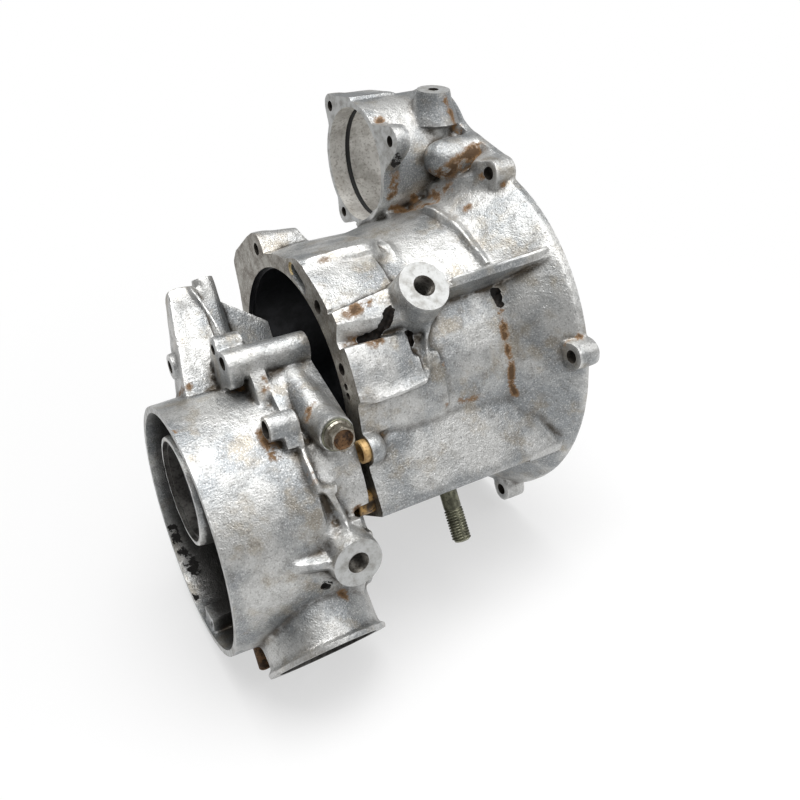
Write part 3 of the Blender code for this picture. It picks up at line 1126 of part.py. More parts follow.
def rest_pose():
    """The empty that turns the casting frame until the three resting faces meet a level floor."""
    up = Vector((0.0, 0.0, -1.0))
    for turn in range(REST_TURNS):
        lowest = []
        for centre, axis, radius in resting_discs():
            across = (axis * up.dot(axis) - up).normalized()
            lowest.append(centre + across * radius)
        normal = (lowest[1] - lowest[0]).cross(lowest[2] - lowest[0]).normalized()
        up = normal if normal.dot(up) > 0.0 else -normal
    turned_up = Vector((0.0, up.y, up.z))
    empty = bpy.data.objects.new("rest_pose", None)
    roll = turned_up.angle(Vector((0.0, 0.0, 1.0)))
    empty.rotation_euler = (roll, -asin(up.x), 0.0)
    bpy.context.scene.collection.objects.link(empty)
    return empty


def set_on_floor(empty, pieces):
    """Lift the castings until their lowest point stands on z = 0, and centre them over the origin."""
    bpy.context.view_layer.update()
    corners = [piece.matrix_world @ corner.co for piece in pieces for corner in piece.data.vertices]
    low = Vector([min(corner[axis] for corner in corners) for axis in range(3)])
    high = Vector([max(corner[axis] for corner in corners) for axis in range(3)])
    empty.location = (-(low.x + high.x) / 2.0, -(low.y + high.y) / 2.0, -low.z)


clear_scene()
pose = rest_pose()
pieces = [main_case(), end_housing()] + small_pieces()
set_on_floor(pose, pieces)
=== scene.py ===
"""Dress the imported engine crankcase: worn die-cast aluminium, milled faces, rust stains and small fittings.

Lengths are in metres. Both castings are described in the casting frame of the CAD part: +X along the crank
axis towards the bell, +Y out of the flat side wall, +Z towards the base face.
"""
import json
from math import atan2, cos, pi, radians, sin

import bmesh
import bpy
import numpy as np
from mathutils import Matrix, Vector


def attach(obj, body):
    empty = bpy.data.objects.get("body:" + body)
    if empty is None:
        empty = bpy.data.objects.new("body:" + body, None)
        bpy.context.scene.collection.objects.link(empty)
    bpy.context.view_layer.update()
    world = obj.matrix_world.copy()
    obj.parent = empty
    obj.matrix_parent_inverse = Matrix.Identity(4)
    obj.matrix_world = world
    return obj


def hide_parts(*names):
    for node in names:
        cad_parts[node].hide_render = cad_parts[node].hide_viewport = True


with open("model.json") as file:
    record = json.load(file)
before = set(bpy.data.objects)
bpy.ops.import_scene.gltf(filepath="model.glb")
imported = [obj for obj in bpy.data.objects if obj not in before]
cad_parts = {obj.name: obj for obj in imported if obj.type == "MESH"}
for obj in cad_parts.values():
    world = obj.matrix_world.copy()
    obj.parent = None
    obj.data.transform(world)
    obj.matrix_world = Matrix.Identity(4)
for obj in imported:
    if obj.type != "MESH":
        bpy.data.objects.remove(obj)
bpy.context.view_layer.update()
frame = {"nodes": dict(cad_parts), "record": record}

bl_info = {
    "name": "Engine crankcase",
    "version": (1, 0, 0),
    "blender": (4, 5, 0),
    "location": "View3D > Sidebar > Crankcase",
    "description": "Builds the looks of a worn engine crankcase round its packed solids",
    "category": "Object",
}

# Sockets of a colour Mix node
MIX_FACTOR = 0
MIX_A = 6
MIX_B = 7
MIX_RESULT = 2


def mount(name):
    """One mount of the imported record."""
    return next(each for each in frame["record"]["mounts"] if each["name"] == name)


def casting_frame():
    """The matrix that takes a point of the casting frame to where it lies, found from two milled faces."""
    along = Vector(mount("bell_face")["axis"])
    down = Vector(mount("base_face")["axis"])
    turn = Matrix((along, down.cross(along), down)).transposed().to_4x4()
    known_point = Vector((0.078, -0.0685, 0.089))
    origin = Vector(mount("base_face")["pos_m"]) - turn @ known_point
    return Matrix.Translation(origin) @ turn


CASTING = casting_frame()
TO_CASTING = CASTING.inverted()

# Places and sizes of the case's milled features, in the casting frame
RIM_FACE = 0.147
BASE_FACE = 0.089
STARTER_FACE = 0.080
BORE_AT = (-0.0045, -0.0020)
BORE_RADIUS = 0.0775
BORE_DEPTH = 0.098
BORE_STEP_RADIUS = 0.0790
BORE_STEP_DEEP = 0.004
STARTER_AT = (0.0154, -0.1343)
STARTER_BORE_RADIUS = 0.0376
STARTER_EARS = ((-0.0100, -0.0457), (0.0557, 0.0048), (-0.0370, 0.0220))
BELL_AT = (0.0, -0.0074)
LUG_CIRCLE = 0.1247
LUG_ANGLES = (-44.0, 18.1, 93.0, 140.0, 180.0, 222.0)
SIDE_BOSS = (0.050, 0.1195, -16.0)
BREATHER_X = 0.128
BREATHER_ANGLE = -54.0
BREATHER_OUT = 0.0495
BREATHER_SIDE = 0.022
STUD_AT = (0.0518, 0.0660)
STUD_RADIUS = 0.0060
STUD_TIP = 0.123
STUD_THREAD_START = 0.102
STUD_SUNK = 0.020
UPPER_DOWEL_AT = (0.0825, 0.0480)
LOWER_DOWEL_AT = (0.0660, 0.0790)
GASKET_SCRAPS = (((0.0516, -0.0688), 0.0041), ((0.0538, -0.0672), 0.0038))

# The same for the end housing
JOINT_GAP = 0.0048
DRUM_AT = (0.0006, 0.0673)
DRUM_MOUTH = -0.0970
DRUM_BORE_RADIUS = 0.0765
DRUM_FLOOR = -0.0430
HUB_AT = (-0.0050, 0.0430)
HUB_FACE = -0.0915
DRUM_BOSS = (-0.0250, (0.0850, 0.1070), 26.0)
PORT_X = -0.0430
PORT_ANGLE = 70.0
PORT_REACH = 0.1020
PORT_BORE_RADIUS = 0.0320
BOLT_X = -0.0163
BOLT_ANGLE = 26.0
BOLT_SEAT_AT = (0.0880, 0.0334)
BOLT_DISH_LEVEL = 0.0055
BOLT_DISH_RADIUS = 0.0064
# Its drilled holes, each an x, a (y, z) place, a radius and a depth
HOUSING_HOLES = (
    (-0.057, (0.0485, -0.0240), 0.0042, 0.030), (-0.058, (0.0410, -0.0340), 0.0032, 0.016),
    (-0.052, (0.0760, 0.0195), 0.0053, 0.016), (-0.077, (0.0010, -0.0335), 0.0042, 0.016))

MILLIMETRE = 0.001

# How many flats a turned shape has, from the drilled holes to the widest bores
DRILL_STEPS = 32
RING_STEPS = 96
WIDE_STEPS = 128
BORE_STEPS = 144

# Directions of the casting frame
ALONG = Vector((1.0, 0.0, 0.0))
BACK = Vector((-1.0, 0.0, 0.0))
UP = Vector((0.0, 0.0, 1.0))

# Holes of the lugs, the ears and the breather boss, each a radius, a depth and how deep a plug fills it
LUG_HOLE = (0.0042, 0.0175, 0.0145)
EAR_HOLE = (0.0035, 0.024, 0.009)
BREATHER_HOLE = (0.0035, 0.020, 0.020)
PLUG_WALL = 0.001

# The tapped holes of the large bosses, and the plug that fills the cast hole first
TAP_RADIUS = 0.0054
TAP_CHAMFER = 0.0012
TAP_THREAD_DEEP = 0.0011
TAP_PLUG_RADIUS = 0.0076
SIDE_TAP_DEPTH = 0.026
DRUM_TAP_DEPTH = 0.018
BOSS_STOCK_RADIUS = 0.0165
BOSS_FACING_RADIUS = 0.020

# Radii that take in the whole of a face
FLANGE_REACH = 0.2
RIM_REACH = 0.25

# Stepped cutters, each a profile of (radius, height) points
STARTER_GROOVE = ((0.0, -0.0161), (0.0394, -0.0161), (0.0394, -0.0125), (0.0, -0.0125))
BELL_CAVITY = ((0.0, 0.0), (0.0868, 0.0), (0.1163, 0.027), (0.1183, 0.042), (0.0, 0.042))
HUB_BORE = (
    (0.0, -0.0590), (0.0313, -0.0590), (0.0313, -0.0383), (0.0329, -0.0383), (0.0329, -0.0358),
    (0.0313, -0.0358), (0.0313, -0.0192), (0.0225, -0.0192), (0.0225, -0.0158), (0.0303, -0.0158),
    (0.0303, -0.0015), (0.0330, -0.0015), (0.0330, 0.004), (0.0, 0.004))

# The most triangles that a casting has before it is milled
MOST_TRIANGLES = 150000

# How bent the skin is where grime with painted shade and rubbed edges with a painted highlight set in, and
# how fast they grow
HOLLOW_FROM = 0.007
HOLLOW_GAIN = 36.0
EDGE_FROM = 0.03
EDGE_GAIN = 10.0

# The photo's camera: its axes in the casting frame, and how far along each the frame's origin lies
CAMERA_RIGHT = Vector((0.85995, 0.42308, 0.28547))
CAMERA_DOWN = Vector((-0.27498, -0.08714, 0.95749))
CAMERA_AHEAD = Vector((0.42997, -0.90189, 0.04140))
CAMERA_TO_ORIGIN = (-0.06837, -0.00956, 0.550)
CAMERA_LENS = 37.035

# How far the floor is lifted to white where it is seen, and the light of the sky on the object
NEAR_LIFT = 0.55
SKY_STRENGTH = 0.25


class CrankcaseSizes(bpy.types.PropertyGroup):
    """Sizes that a user would change."""
    voxel: bpy.props.FloatProperty(
        name="Casting detail", description="Grid on which the cast skin is rebuilt", default=0.0011,
        min=0.0008, unit="LENGTH")
    stock: bpy.props.FloatProperty(
        name="Milling stock", description="What is left on a face before it is milled", default=0.0012,
        min=0.0005, unit="LENGTH")
    thread_pitch: bpy.props.FloatProperty(
        name="Thread pitch", description="Pitch of the stud's thread and of the large bosses",
        default=0.00175, unit="LENGTH")
    thread_depth: bpy.props.FloatProperty(
        name="Thread depth", description="Depth of the stud's thread", default=0.0009, unit="LENGTH")


def linear(code):
    """An sRGB hex colour as linear red, green, blue and alpha."""
    parts = [int(code[place:place + 2], 16) / 255.0 for place in (1, 3, 5)]
    return tuple(p / 12.92 if p <= 0.04045 else ((p + 0.055) / 1.055) ** 2.4 for p in parts) + (1.0,)


class CrankcaseColours(bpy.types.PropertyGroup):
    """Colours that a user would change."""
    cast: bpy.props.FloatVectorProperty(
        name="Cast skin", description="Bare cast aluminium", default=linear("#C3C3C1"), size=4,
        subtype="COLOR", min=0.0, max=1.0)
    milled: bpy.props.FloatVectorProperty(
        name="Milled face", description="Aluminium faced with a cutter", default=linear("#96938B"), size=4,
        subtype="COLOR", min=0.0, max=1.0)
    rust: bpy.props.FloatVectorProperty(
        name="Rust stain", description="Brown stain that ran off steel parts", default=linear("#7C5A30"),
        size=4, subtype="COLOR", min=0.0, max=1.0)


def sizes():
    """The size settings of this scene."""
    return bpy.context.scene.crankcase_sizes


def colours():
    """The colour settings of this scene."""
    return bpy.context.scene.crankcase_colours


def feed(tree, made, inputs):
    """Set a node's inputs: another node's output is linked, a hex colour or a value is stored."""
    for socket, value in inputs.items():
        if isinstance(value, bpy.types.NodeSocket):
            tree.links.new(value, made.inputs[socket])
        elif isinstance(value, str):
            made.inputs[socket].default_value = linear(value)
        else:
            made.inputs[socket].default_value = value


def node(tree, kind, output, inputs=None, **settings):
    """Add one node with its settings, its values and its links, and give back one of its outputs."""
    made = tree.nodes.new(kind)
    for name, value in settings.items():
        setattr(made, name, value)
    feed(tree, made, inputs or {})
    return made.outputs[output]


def new_material(name):
    """An empty material: its tree, its shader and its Object coordinates."""
    made = bpy.data.materials.new(name)
    made.use_nodes = True
    tree = made.node_tree
    return tree, tree.nodes["Principled BSDF"], node(tree, "ShaderNodeTexCoord", "Object")


def grains(millimetres):
    """The scale at which a noise pattern has grains of about this width."""
    return 1000.0 / millimetres


def layered(tree, body, layers):
    """Lay colours over a body colour.

    Each layer is a pattern, the values between which it sets in, its full share and its colour.
    """
    for pattern, low, high, share, colour in layers:
        amount = node(tree, "ShaderNodeMapRange", "Result", {
            "Value": pattern, "From Min": low, "From Max": high, "To Max": share},
            interpolation_type="SMOOTHSTEP")
        body = node(tree, "ShaderNodeMix", MIX_RESULT, {MIX_FACTOR: amount, MIX_A: body, MIX_B: colour},
                    data_type="RGBA")
    return body


def cast_skin():
    """Die-cast aluminium gone satin with use: clouded silver grey, with pits, grime and rust, painted shade
    in its corners, on its walls inside and in its deep pockets, and a painted highlight on its edges.
    """
    tree, shader, where = new_material("cast_skin")
    cloud, drift, mottle, grain = [
        node(tree, "ShaderNodeTexNoise", "Fac", {
            "Vector": where, "Scale": grains(width), "Detail": detail, "Roughness": roughness})
        for width, detail, roughness in (
            (30.0, 3.0, 0.5), (19.0, 4.0, 0.6), (7.0, 5.0, 0.62), (1.0, 2.0, 0.6))]
    pits = node(tree, "ShaderNodeTexVoronoi", "Distance", {
        "Vector": where, "Scale": grains(3.0), "Randomness": 1.0}, feature="F1")
    edge, oil_and_shade, hollow, rust, soot_and_shade = [
        node(tree, "ShaderNodeAttribute", "Fac", attribute_name=name, attribute_type="GEOMETRY")
        for name in ("edge", "oil_and_shade", "hollow", "rust", "soot_and_shade")]
    # Oxide leaves soft grey clouds and old oil yellow drifts, with a mottle, dark specks and bright ones
    skin = layered(tree, tuple(colours().cast), (
        (cloud, 0.40, 0.62, 0.85, "#868A8D"), (drift, 0.50, 0.68, 0.55, "#9C907B"),
        (mottle, 0.46, 0.72, 0.45, "#7C7A76"), (grain, 0.54, 0.72, 0.5, "#514F4B"),
        (grain, 0.46, 0.31, 0.5, "#E2E2E1")))
    patchy = node(tree, "ShaderNodeMapRange", "Result", {
        "Value": mottle, "From Min": 0.32, "From Max": 0.54, "To Min": 0.4}, interpolation_type="SMOOTHSTEP")
    # Grime and painted shade: darkens every hollow corner of the skin
    grime_and_shade = node(tree, "ShaderNodeMath", "Value", {0: hollow, 1: patchy}, operation="MULTIPLY")
    # Rust runs in ragged patches, darker in their middle, and soot, sealant and the painted shade of deep
    # pockets lie in hard-edged blots
    torn = node(tree, "ShaderNodeMapRange", "Result", {
        "Value": mottle, "From Min": 0.38, "From Max": 0.60, "To Min": 0.12, "To Max": 0.75},
        interpolation_type="SMOOTHSTEP")
    ragged = node(tree, "ShaderNodeMath", "Value", {0: grain, 1: 0.5}, operation="MULTIPLY")
    ragged = node(tree, "ShaderNodeMath", "Value", {0: torn, 1: ragged}, operation="ADD")
    rusted, ragged_soot_and_shade = [
        node(tree, "ShaderNodeMath", "Value", {0: field, 1: ragged}, operation="MULTIPLY")
        for field in (rust, soot_and_shade)]
    stain, deep, blot_and_shade = [
        node(tree, "ShaderNodeMapRange", "Result", {
            "Value": field, "From Min": low, "From Max": high, "To Max": share},
            interpolation_type="SMOOTHSTEP")
        for field, low, high, share in (
            (rusted, 0.20, 0.66, 0.9), (rusted, 0.58, 0.86, 0.75), (ragged_soot_and_shade, 0.30, 0.40, 1.0))]
    # Edges are rubbed bright and carry a painted highlight, oil and painted shade lie on the walls inside,
    # and grime and painted shade in every corner
    for amount, colour in (
            (edge, "#DEDEDC"), (oil_and_shade, "#4B4A48"), (grime_and_shade, "#453E35"), (stain, tuple(colours().rust)),
            (deep, "#3E2912"), (blot_and_shade, "#171513")):
        skin = node(tree, "ShaderNodeMix", MIX_RESULT, {MIX_FACTOR: amount, MIX_A: skin, MIX_B: colour},
                    data_type="RGBA")
    dull = node(tree, "ShaderNodeMath", "Value", {0: stain, 1: blot_and_shade}, operation="MAXIMUM")
    metal = node(tree, "ShaderNodeMapRange", "Result", {
        "Value": dull, "From Max": 0.8, "To Min": 0.8, "To Max": 0.05})
    satin = node(tree, "ShaderNodeMapRange", "Result", {
        "Value": mottle, "From Min": 0.35, "From Max": 0.70, "To Min": 0.36, "To Max": 0.50})
    rough = node(tree, "ShaderNodeMapRange", "Result", {"Value": dull, "To Max": 0.35})
    rough = node(tree, "ShaderNodeMath", "Value", {0: satin, 1: rough}, operation="ADD", use_clamp=True)
    sunk = node(tree, "ShaderNodeMapRange", "Result", {
        "Value": pits, "From Min": 0.06, "From Max": 0.24}, interpolation_type="SMOOTHSTEP")
    relief = node(tree, "ShaderNodeBump", "Normal", {"Height": mottle, "Distance": 0.0006})
    for height, distance in ((grain, 0.00022), (sunk, 0.00010)):
        relief = node(tree, "ShaderNodeBump", "Normal", {
            "Height": height, "Distance": distance, "Normal": relief})
    feed(tree, shader, {"Base Color": skin, "Metallic": metal, "Roughness": rough, "Normal": relief})


def milled_face():
    """Aluminium faced with a cutter: flat and finely scored, browned where a gasket sat for years."""
    tree, shader, where = new_material("milled_face")
    cloud = node(tree, "ShaderNodeTexNoise", "Fac", {
        "Vector": where, "Scale": grains(9.0), "Detail": 4.0, "Roughness": 0.6})
    fine = node(tree, "ShaderNodeTexNoise", "Fac", {"Vector": where, "Scale": grains(1.6), "Detail": 3.0})
    stretched = node(tree, "ShaderNodeMapping", "Vector", {"Vector": where, "Scale": (1.0, 1.0, 9.0)})
    score = node(tree, "ShaderNodeTexNoise", "Fac", {
        "Vector": stretched, "Scale": grains(1.1), "Detail": 2.0})
    face = layered(tree, tuple(colours().milled), (
        (cloud, 0.35, 0.68, 1.0, "#777067"), (fine, 0.55, 0.75, 0.6, "#C9C5BE"),
        (fine, 0.45, 0.32, 0.6, "#4E473A")))
    rough = node(tree, "ShaderNodeMapRange", "Result", {
        "Value": cloud, "From Min": 0.3, "From Max": 0.7, "To Min": 0.34, "To Max": 0.52})
    relief = node(tree, "ShaderNodeBump", "Normal", {"Height": score, "Distance": 0.00005})
    feed(tree, shader, {"Base Color": face, "Metallic": 0.8, "Roughness": rough, "Normal": relief})


def bright_face():
    """A boss faced bare: clean silver aluminium with a faint tool finish and a few dark spots."""
    tree, shader, where = new_material("bright_face")
    cloud = node(tree, "ShaderNodeTexNoise", "Fac", {
        "Vector": where, "Scale": grains(6.0), "Detail": 4.0, "Roughness": 0.6})
    fine = node(tree, "ShaderNodeTexNoise", "Fac", {"Vector": where, "Scale": grains(1.2), "Detail": 3.0})
    face = layered(tree, "#BDBEBD", (
        (cloud, 0.40, 0.70, 1.0, "#9C9B97"), (fine, 0.40, 0.26, 0.5, "#716D66")))
    rough = node(tree, "ShaderNodeMapRange", "Result", {
        "Value": cloud, "From Min": 0.3, "From Max": 0.7, "To Min": 0.42, "To Max": 0.55})
    relief = node(tree, "ShaderNodeBump", "Normal", {"Height": fine, "Distance": 0.00004})
    feed(tree, shader, {"Base Color": face, "Metallic": 0.7, "Roughness": rough, "Normal": relief})


def bored_wall(name, pale, dark, dirt, roughness, metallic):
    """A bored aluminium wall under a film of old oil, cloudy and spotted."""
    tree, shader, where = new_material(name)
    cloud = node(tree, "ShaderNodeTexNoise", "Fac", {
        "Vector": where, "Scale": grains(14.0), "Detail": 5.0, "Roughness": 0.65})
    fine = node(tree, "ShaderNodeTexNoise", "Fac", {"Vector": where, "Scale": grains(1.8), "Detail": 3.0})
    wall = layered(tree, pale, ((cloud, 0.38, 0.62, 1.0, dark), (fine, 0.50, 0.72, 0.6, dirt)))
    rough = node(tree, "ShaderNodeMapRange", "Result", {
        "Value": cloud, "From Min": 0.3, "From Max": 0.7, "To Min": roughness, "To Max": roughness + 0.2})
    relief = node(tree, "ShaderNodeBump", "Normal", {"Height": fine, "Distance": 0.00006})
    feed(tree, shader, {"Base Color": wall, "Metallic": metallic, "Roughness": rough, "Normal": relief})


def worn_finish(name, body, spots, metallic, roughness, share=0.7, grain=1.5, height=0.06):
    """A small part's finish: its own colour under spots of wear or dirt, with a fine relief.

    The grain's width and the relief's height are in millimetres.
    """
    tree, shader, where = new_material(name)
    fine = node(tree, "ShaderNodeTexNoise", "Fac", {
        "Vector": where, "Scale": grains(grain), "Detail": 4.0, "Roughness": 0.6})
    cloud = node(tree, "ShaderNodeTexNoise", "Fac", {
        "Vector": where, "Scale": grains(grain * 4.0), "Detail": 3.0})
    body = layered(tree, body, ((cloud, 0.42, 0.62, share, spots), (fine, 0.50, 0.68, share, spots)))
    rough = node(tree, "ShaderNodeMapRange", "Result", {
        "Value": fine, "From Min": 0.3, "From Max": 0.7, "To Min": roughness - 0.06,
        "To Max": roughness + 0.12})
    relief = node(tree, "ShaderNodeBump", "Normal", {"Height": fine, "Distance": height / 1000.0})
    feed(tree, shader, {"Base Color": body, "Metallic": metallic, "Roughness": rough, "Normal": relief})


def make_finishes():
    """Every finish of the object, made once."""
    cast_skin()
    milled_face()
    bright_face()
    # Near-black bore walls inside the case: old oil with painted shade
    bored_wall("oil_and_shade_bore", "#232428", "#121316", "#08080A", 0.30, 0.5)
    bored_wall("starter_bore_wall", "#E2E0DB", "#BFBCB6", "#857C70", 0.45, 0.35)
    bored_wall("port_wall", "#6C6A67", "#3B3936", "#1B1917", 0.42, 0.6)
    bored_wall("hole_wall", "#5A554E", "#332E29", "#1A1714", 0.42, 0.5)
    # Tapped threads, cut bright and darkened by oil in their roots
    bored_wall("thread_wall", "#7B7872", "#45413B", "#241F1A", 0.34, 0.8)
    # Blow holes and deep corners of the casting, black with burnt oil and painted shade
    bored_wall("soot_and_shade_pocket", "#2A2521", "#14110F", "#3B2A1E", 0.6, 0.1)
    # Zinc-dichromate dowels, gone tan under their oil
    worn_finish("yellow_plating", "#CBA972", "#86653C", 0.25, 0.42, 0.6)
    # The same plating deep in the joint, under black oil but for a few gold patches
    worn_finish("oiled_plating", "#B08A4E", "#231B12", 0.2, 0.40, 0.95, 2.0)
    # Zinc plating, yellow-green where the chromate is left and grey where it is rubbed off
    worn_finish("zinc_plating", "#8B8B78", "#4C4C40", 0.8, 0.34)
    # Forged steel that has rusted through its plating
    worn_finish("rusty_steel", "#705234", "#2A1A0E", 0.35, 0.60, 0.85, 1.2, 0.25)
    # The bolt's flats, still grey under their oil
    worn_finish("bolt_steel", "#A09B90", "#5E564A", 0.85, 0.36, 0.6)
    # Nitrile rubber of the seals, dulled by oil
    worn_finish("black_rubber", "#2B2B2C", "#141415", 0.0, 0.40, 0.6)
    # Ground bearing steel, bright and close-grained
    worn_finish("ground_steel", "#B6B7B8", "#7E7F83", 1.0, 0.20, 0.5, 2.5, 0.01)
    # Scraps of paper gasket left in the slot, soaked brown at their edges
    worn_finish("gasket_paper", "#DCCB9F", "#8F7142", 0.0, 0.75, 0.6, 1.0, 0.15)


def finish(name):
    """One finish by its name."""
    return bpy.data.materials[name]


def polar(radius, angle, centre=(0.0, 0.0)):
    """A (y, z) place at a radius and an angle about a centre."""
    return (centre[0] + radius * cos(radians(angle)), centre[1] + radius * sin(radians(angle)))


def at(x, place):
    """A point of the casting frame from an x and a (y, z) place."""
    return Vector((x, place[0], place[1]))


def facing(angle):
    """The direction square to the crank axis at an angle."""
    return Vector((0.0, cos(radians(angle)), sin(radians(angle))))


def standing(place, direction):
    """The matrix that puts a shape drawn along +Z on a place of the casting frame, pointing a given way."""
    turn = Vector(direction).to_track_quat("Z", "Y").to_matrix().to_4x4()
    return CASTING @ Matrix.Translation(place) @ turn


def shown(name, bm, *finishes):
    """Turn a bmesh into an object with its finishes."""
    mesh = bpy.data.meshes.new(name)
    bm.to_mesh(mesh)
    bm.free()
    for each in finishes:
        mesh.materials.append(finish(each))
    made = bpy.data.objects.new(name, mesh)
    bpy.context.scene.collection.objects.link(made)
    return made


def turned(name, profile, place, direction, finish_name, steps=64):
    """A (radius, height) profile spun about a direction, smooth round its axis and crisp along it."""
    bm = bmesh.new()
    corners = [bm.verts.new((radius, 0.0, height)) for radius, height in profile]
    edges = [bm.edges.new(pair) for pair in zip(corners, corners[1:])]
    if profile[0][0] > 0.0:
        edges.append(bm.edges.new((corners[-1], corners[0])))
    bmesh.ops.spin(bm, geom=corners + edges, cent=(0.0, 0.0, 0.0), axis=(0.0, 0.0, 1.0),
                   angle=2.0 * pi, steps=steps, use_merge=True)
    bmesh.ops.remove_doubles(bm, verts=bm.verts, dist=1e-6)
    bmesh.ops.dissolve_degenerate(bm, edges=bm.edges, dist=1e-7)
    bmesh.ops.recalc_face_normals(bm, faces=bm.faces)
    bmesh.ops.transform(bm, matrix=standing(place, direction), verts=bm.verts)
    for face in bm.faces:
        face.smooth = True
    made = shown(name, bm, finish_name)
    made.data.set_sharp_from_angle(angle=radians(30.0))
    return made


def hung(piece, *replaced):
    """Let a finished piece ride with the castings in place of its solids."""
    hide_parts(*replaced)
    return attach(piece, "root")


def copied(name):
    """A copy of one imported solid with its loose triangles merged."""
    bm = bmesh.new()
    bm.from_mesh(frame["nodes"][name].data)
    bmesh.ops.remove_doubles(bm, verts=bm.verts, dist=1e-5)
    return bm


def add_round(bm, place, direction, low, high, radius, steps=48):
    """Add one closed round bar, from one height to another about a direction, to a mesh."""
    made = bmesh.ops.create_cone(bm, cap_ends=True, segments=steps, radius1=radius, radius2=radius,
                                 depth=high - low)
    bmesh.ops.translate(bm, verts=made["verts"], vec=(0.0, 0.0, (low + high) / 2.0))
    bmesh.ops.transform(bm, verts=made["verts"], matrix=standing(place, direction))


def add_bead(bm, run, radius):
    """Add a raised bead along a run of points in millimetres, with its radius in metres."""
    stops = [Vector(stop) / 1000.0 for stop in run]
    for start, end in zip(stops, stops[1:]):
        way = end - start
        add_round(bm, start, way, -radius / 2.0, way.length + radius / 2.0, radius, 10)


def add_filler(bm, corners):
    """Add the closed hull of a few corners, in millimetres of the casting frame."""
    made = [bm.verts.new(CASTING @ (Vector(corner) / 1000.0)) for corner in corners]
    hull = bmesh.ops.convex_hull(bm, input=made)
    faces = [each for each in hull["geom"] if isinstance(each, bmesh.types.BMFace)]
    bmesh.ops.recalc_face_normals(bm, faces=faces)


def pocket_cutter(run, radius):
    """A ragged cutter for a deep dark corner: lumpy balls along a run of points in millimetres.

    The radius is in metres.
    """
    bm = bmesh.new()
    stops = [Vector(stop) / 1000.0 for stop in run]
    for start, end in zip(stops, stops[1:]):
        for share in (0.0, 0.33, 0.67, 1.0):
            bmesh.ops.create_icosphere(bm, subdivisions=2, radius=radius * (1.0 - 0.25 * share),
                                       matrix=CASTING @ Matrix.Translation(start.lerp(end, share)))
    # Its walls take the near-black finish: burnt oil with painted shade
    rough = shown("pocket", bm, "soot_and_shade_pocket")
    grid = rough.modifiers.new("grid", "REMESH")
    grid.mode = "VOXEL"
    grid.voxel_size = sizes().voxel / 2.0
    mesh = bpy.data.meshes.new_from_object(rough.evaluated_get(bpy.context.evaluated_depsgraph_get()))
    rough.modifiers.clear()
    rough.data = mesh
    for corner in mesh.vertices:
        lump = sin(1100.0 * corner.co.x) * cos(1200.0 * corner.co.y + 700.0 * corner.co.z)
        corner.co += corner.normal * radius * 0.12 * lump
    return rough


def leave_stock(bm, faces):
    """Raise the flat faces that are milled later, each a (place, direction, radius) disc."""
    near = 0.0002
    stock = sizes().stock
    for place, direction, radius in faces:
        middle = CASTING @ place
        out = (CASTING.to_3x3() @ direction).normalized()
        for corner in bm.verts:
            arm = corner.co - middle
            if abs(arm.dot(out)) < near and arm.length < radius:
                corner.co += out * stock


def smooth_facets(mesh, turns=40, moves=12, spread=0.15):
    """Turn the flat facets of round walls into curved ones, and keep the true edges.

    Each face's direction drifts towards that of its neighbours, the less the more they differ, and the
    corners then follow the faces.
    """
    corner_count = len(mesh.vertices)
    face_count = len(mesh.polygons)
    loop_corner = np.empty(len(mesh.loops), dtype=np.int64)
    loop_edge = np.empty(len(mesh.loops), dtype=np.int64)
    totals = np.empty(face_count, dtype=np.int64)
    corners = np.empty(corner_count * 3)
    faces = np.empty(face_count * 3)
    mesh.loops.foreach_get("vertex_index", loop_corner)
    mesh.loops.foreach_get("edge_index", loop_edge)
    mesh.polygons.foreach_get("loop_total", totals)
    mesh.vertices.foreach_get("co", corners)
    mesh.polygons.foreach_get("normal", faces)
    corners = corners.reshape(-1, 3)
    faces = faces.reshape(-1, 3)
    loop_face = np.repeat(np.arange(face_count), totals)
    pairs = loop_face[np.argsort(loop_edge, kind="stable")].reshape(-1, 2)
    for turn in range(turns):
        first, second = faces[pairs[:, 0]], faces[pairs[:, 1]]
        weight = np.exp(-((first - second) ** 2).sum(1) / (2.0 * spread * spread))[:, None]
        gathered = faces.copy()
        for axis in range(3):
            gathered[:, axis] += np.bincount(pairs[:, 0], (weight * second)[:, axis], face_count)
            gathered[:, axis] += np.bincount(pairs[:, 1], (weight * first)[:, axis], face_count)
        faces = gathered / np.linalg.norm(gathered, axis=1)[:, None]
    valence = np.bincount(loop_corner, minlength=corner_count)[:, None]
    for move in range(moves):
        middles = np.stack([np.bincount(loop_face, corners[loop_corner, axis], face_count)
                            for axis in range(3)], 1) / totals[:, None]
        aim = faces[loop_face]
        gap = ((middles[loop_face] - corners[loop_corner]) * aim).sum(1)[:, None] * aim
        pull = np.stack([np.bincount(loop_corner, gap[:, axis], corner_count) for axis in range(3)], 1)
        corners = corners + pull / valence
    mesh.vertices.foreach_set("co", corners.ravel())
    mesh.update()


def neighbour_mean(mesh, values):
    """The mean of a value over the corners that share an edge with each corner."""
    edges = np.empty(len(mesh.edges) * 2, dtype=np.int64)
    mesh.edges.foreach_get("vertices", edges)
    first, second = edges[0::2], edges[1::2]
    count = len(mesh.vertices)
    valence = np.maximum(np.bincount(edges, minlength=count), 1)
    columns = values.reshape(count, -1)
    sums = [np.bincount(first, columns[second, c], count) + np.bincount(second, columns[first, c], count)
            for c in range(columns.shape[1])]
    return (np.stack(sums, 1) / valence[:, None]).reshape(values.shape)


def write_field(mesh, name, values):
    """Store one value for each corner."""
    made = mesh.attributes.new(name, "FLOAT", "POINT")
    made.data.foreach_set("value", np.clip(values, 0.0, 1.0).astype(np.float32))


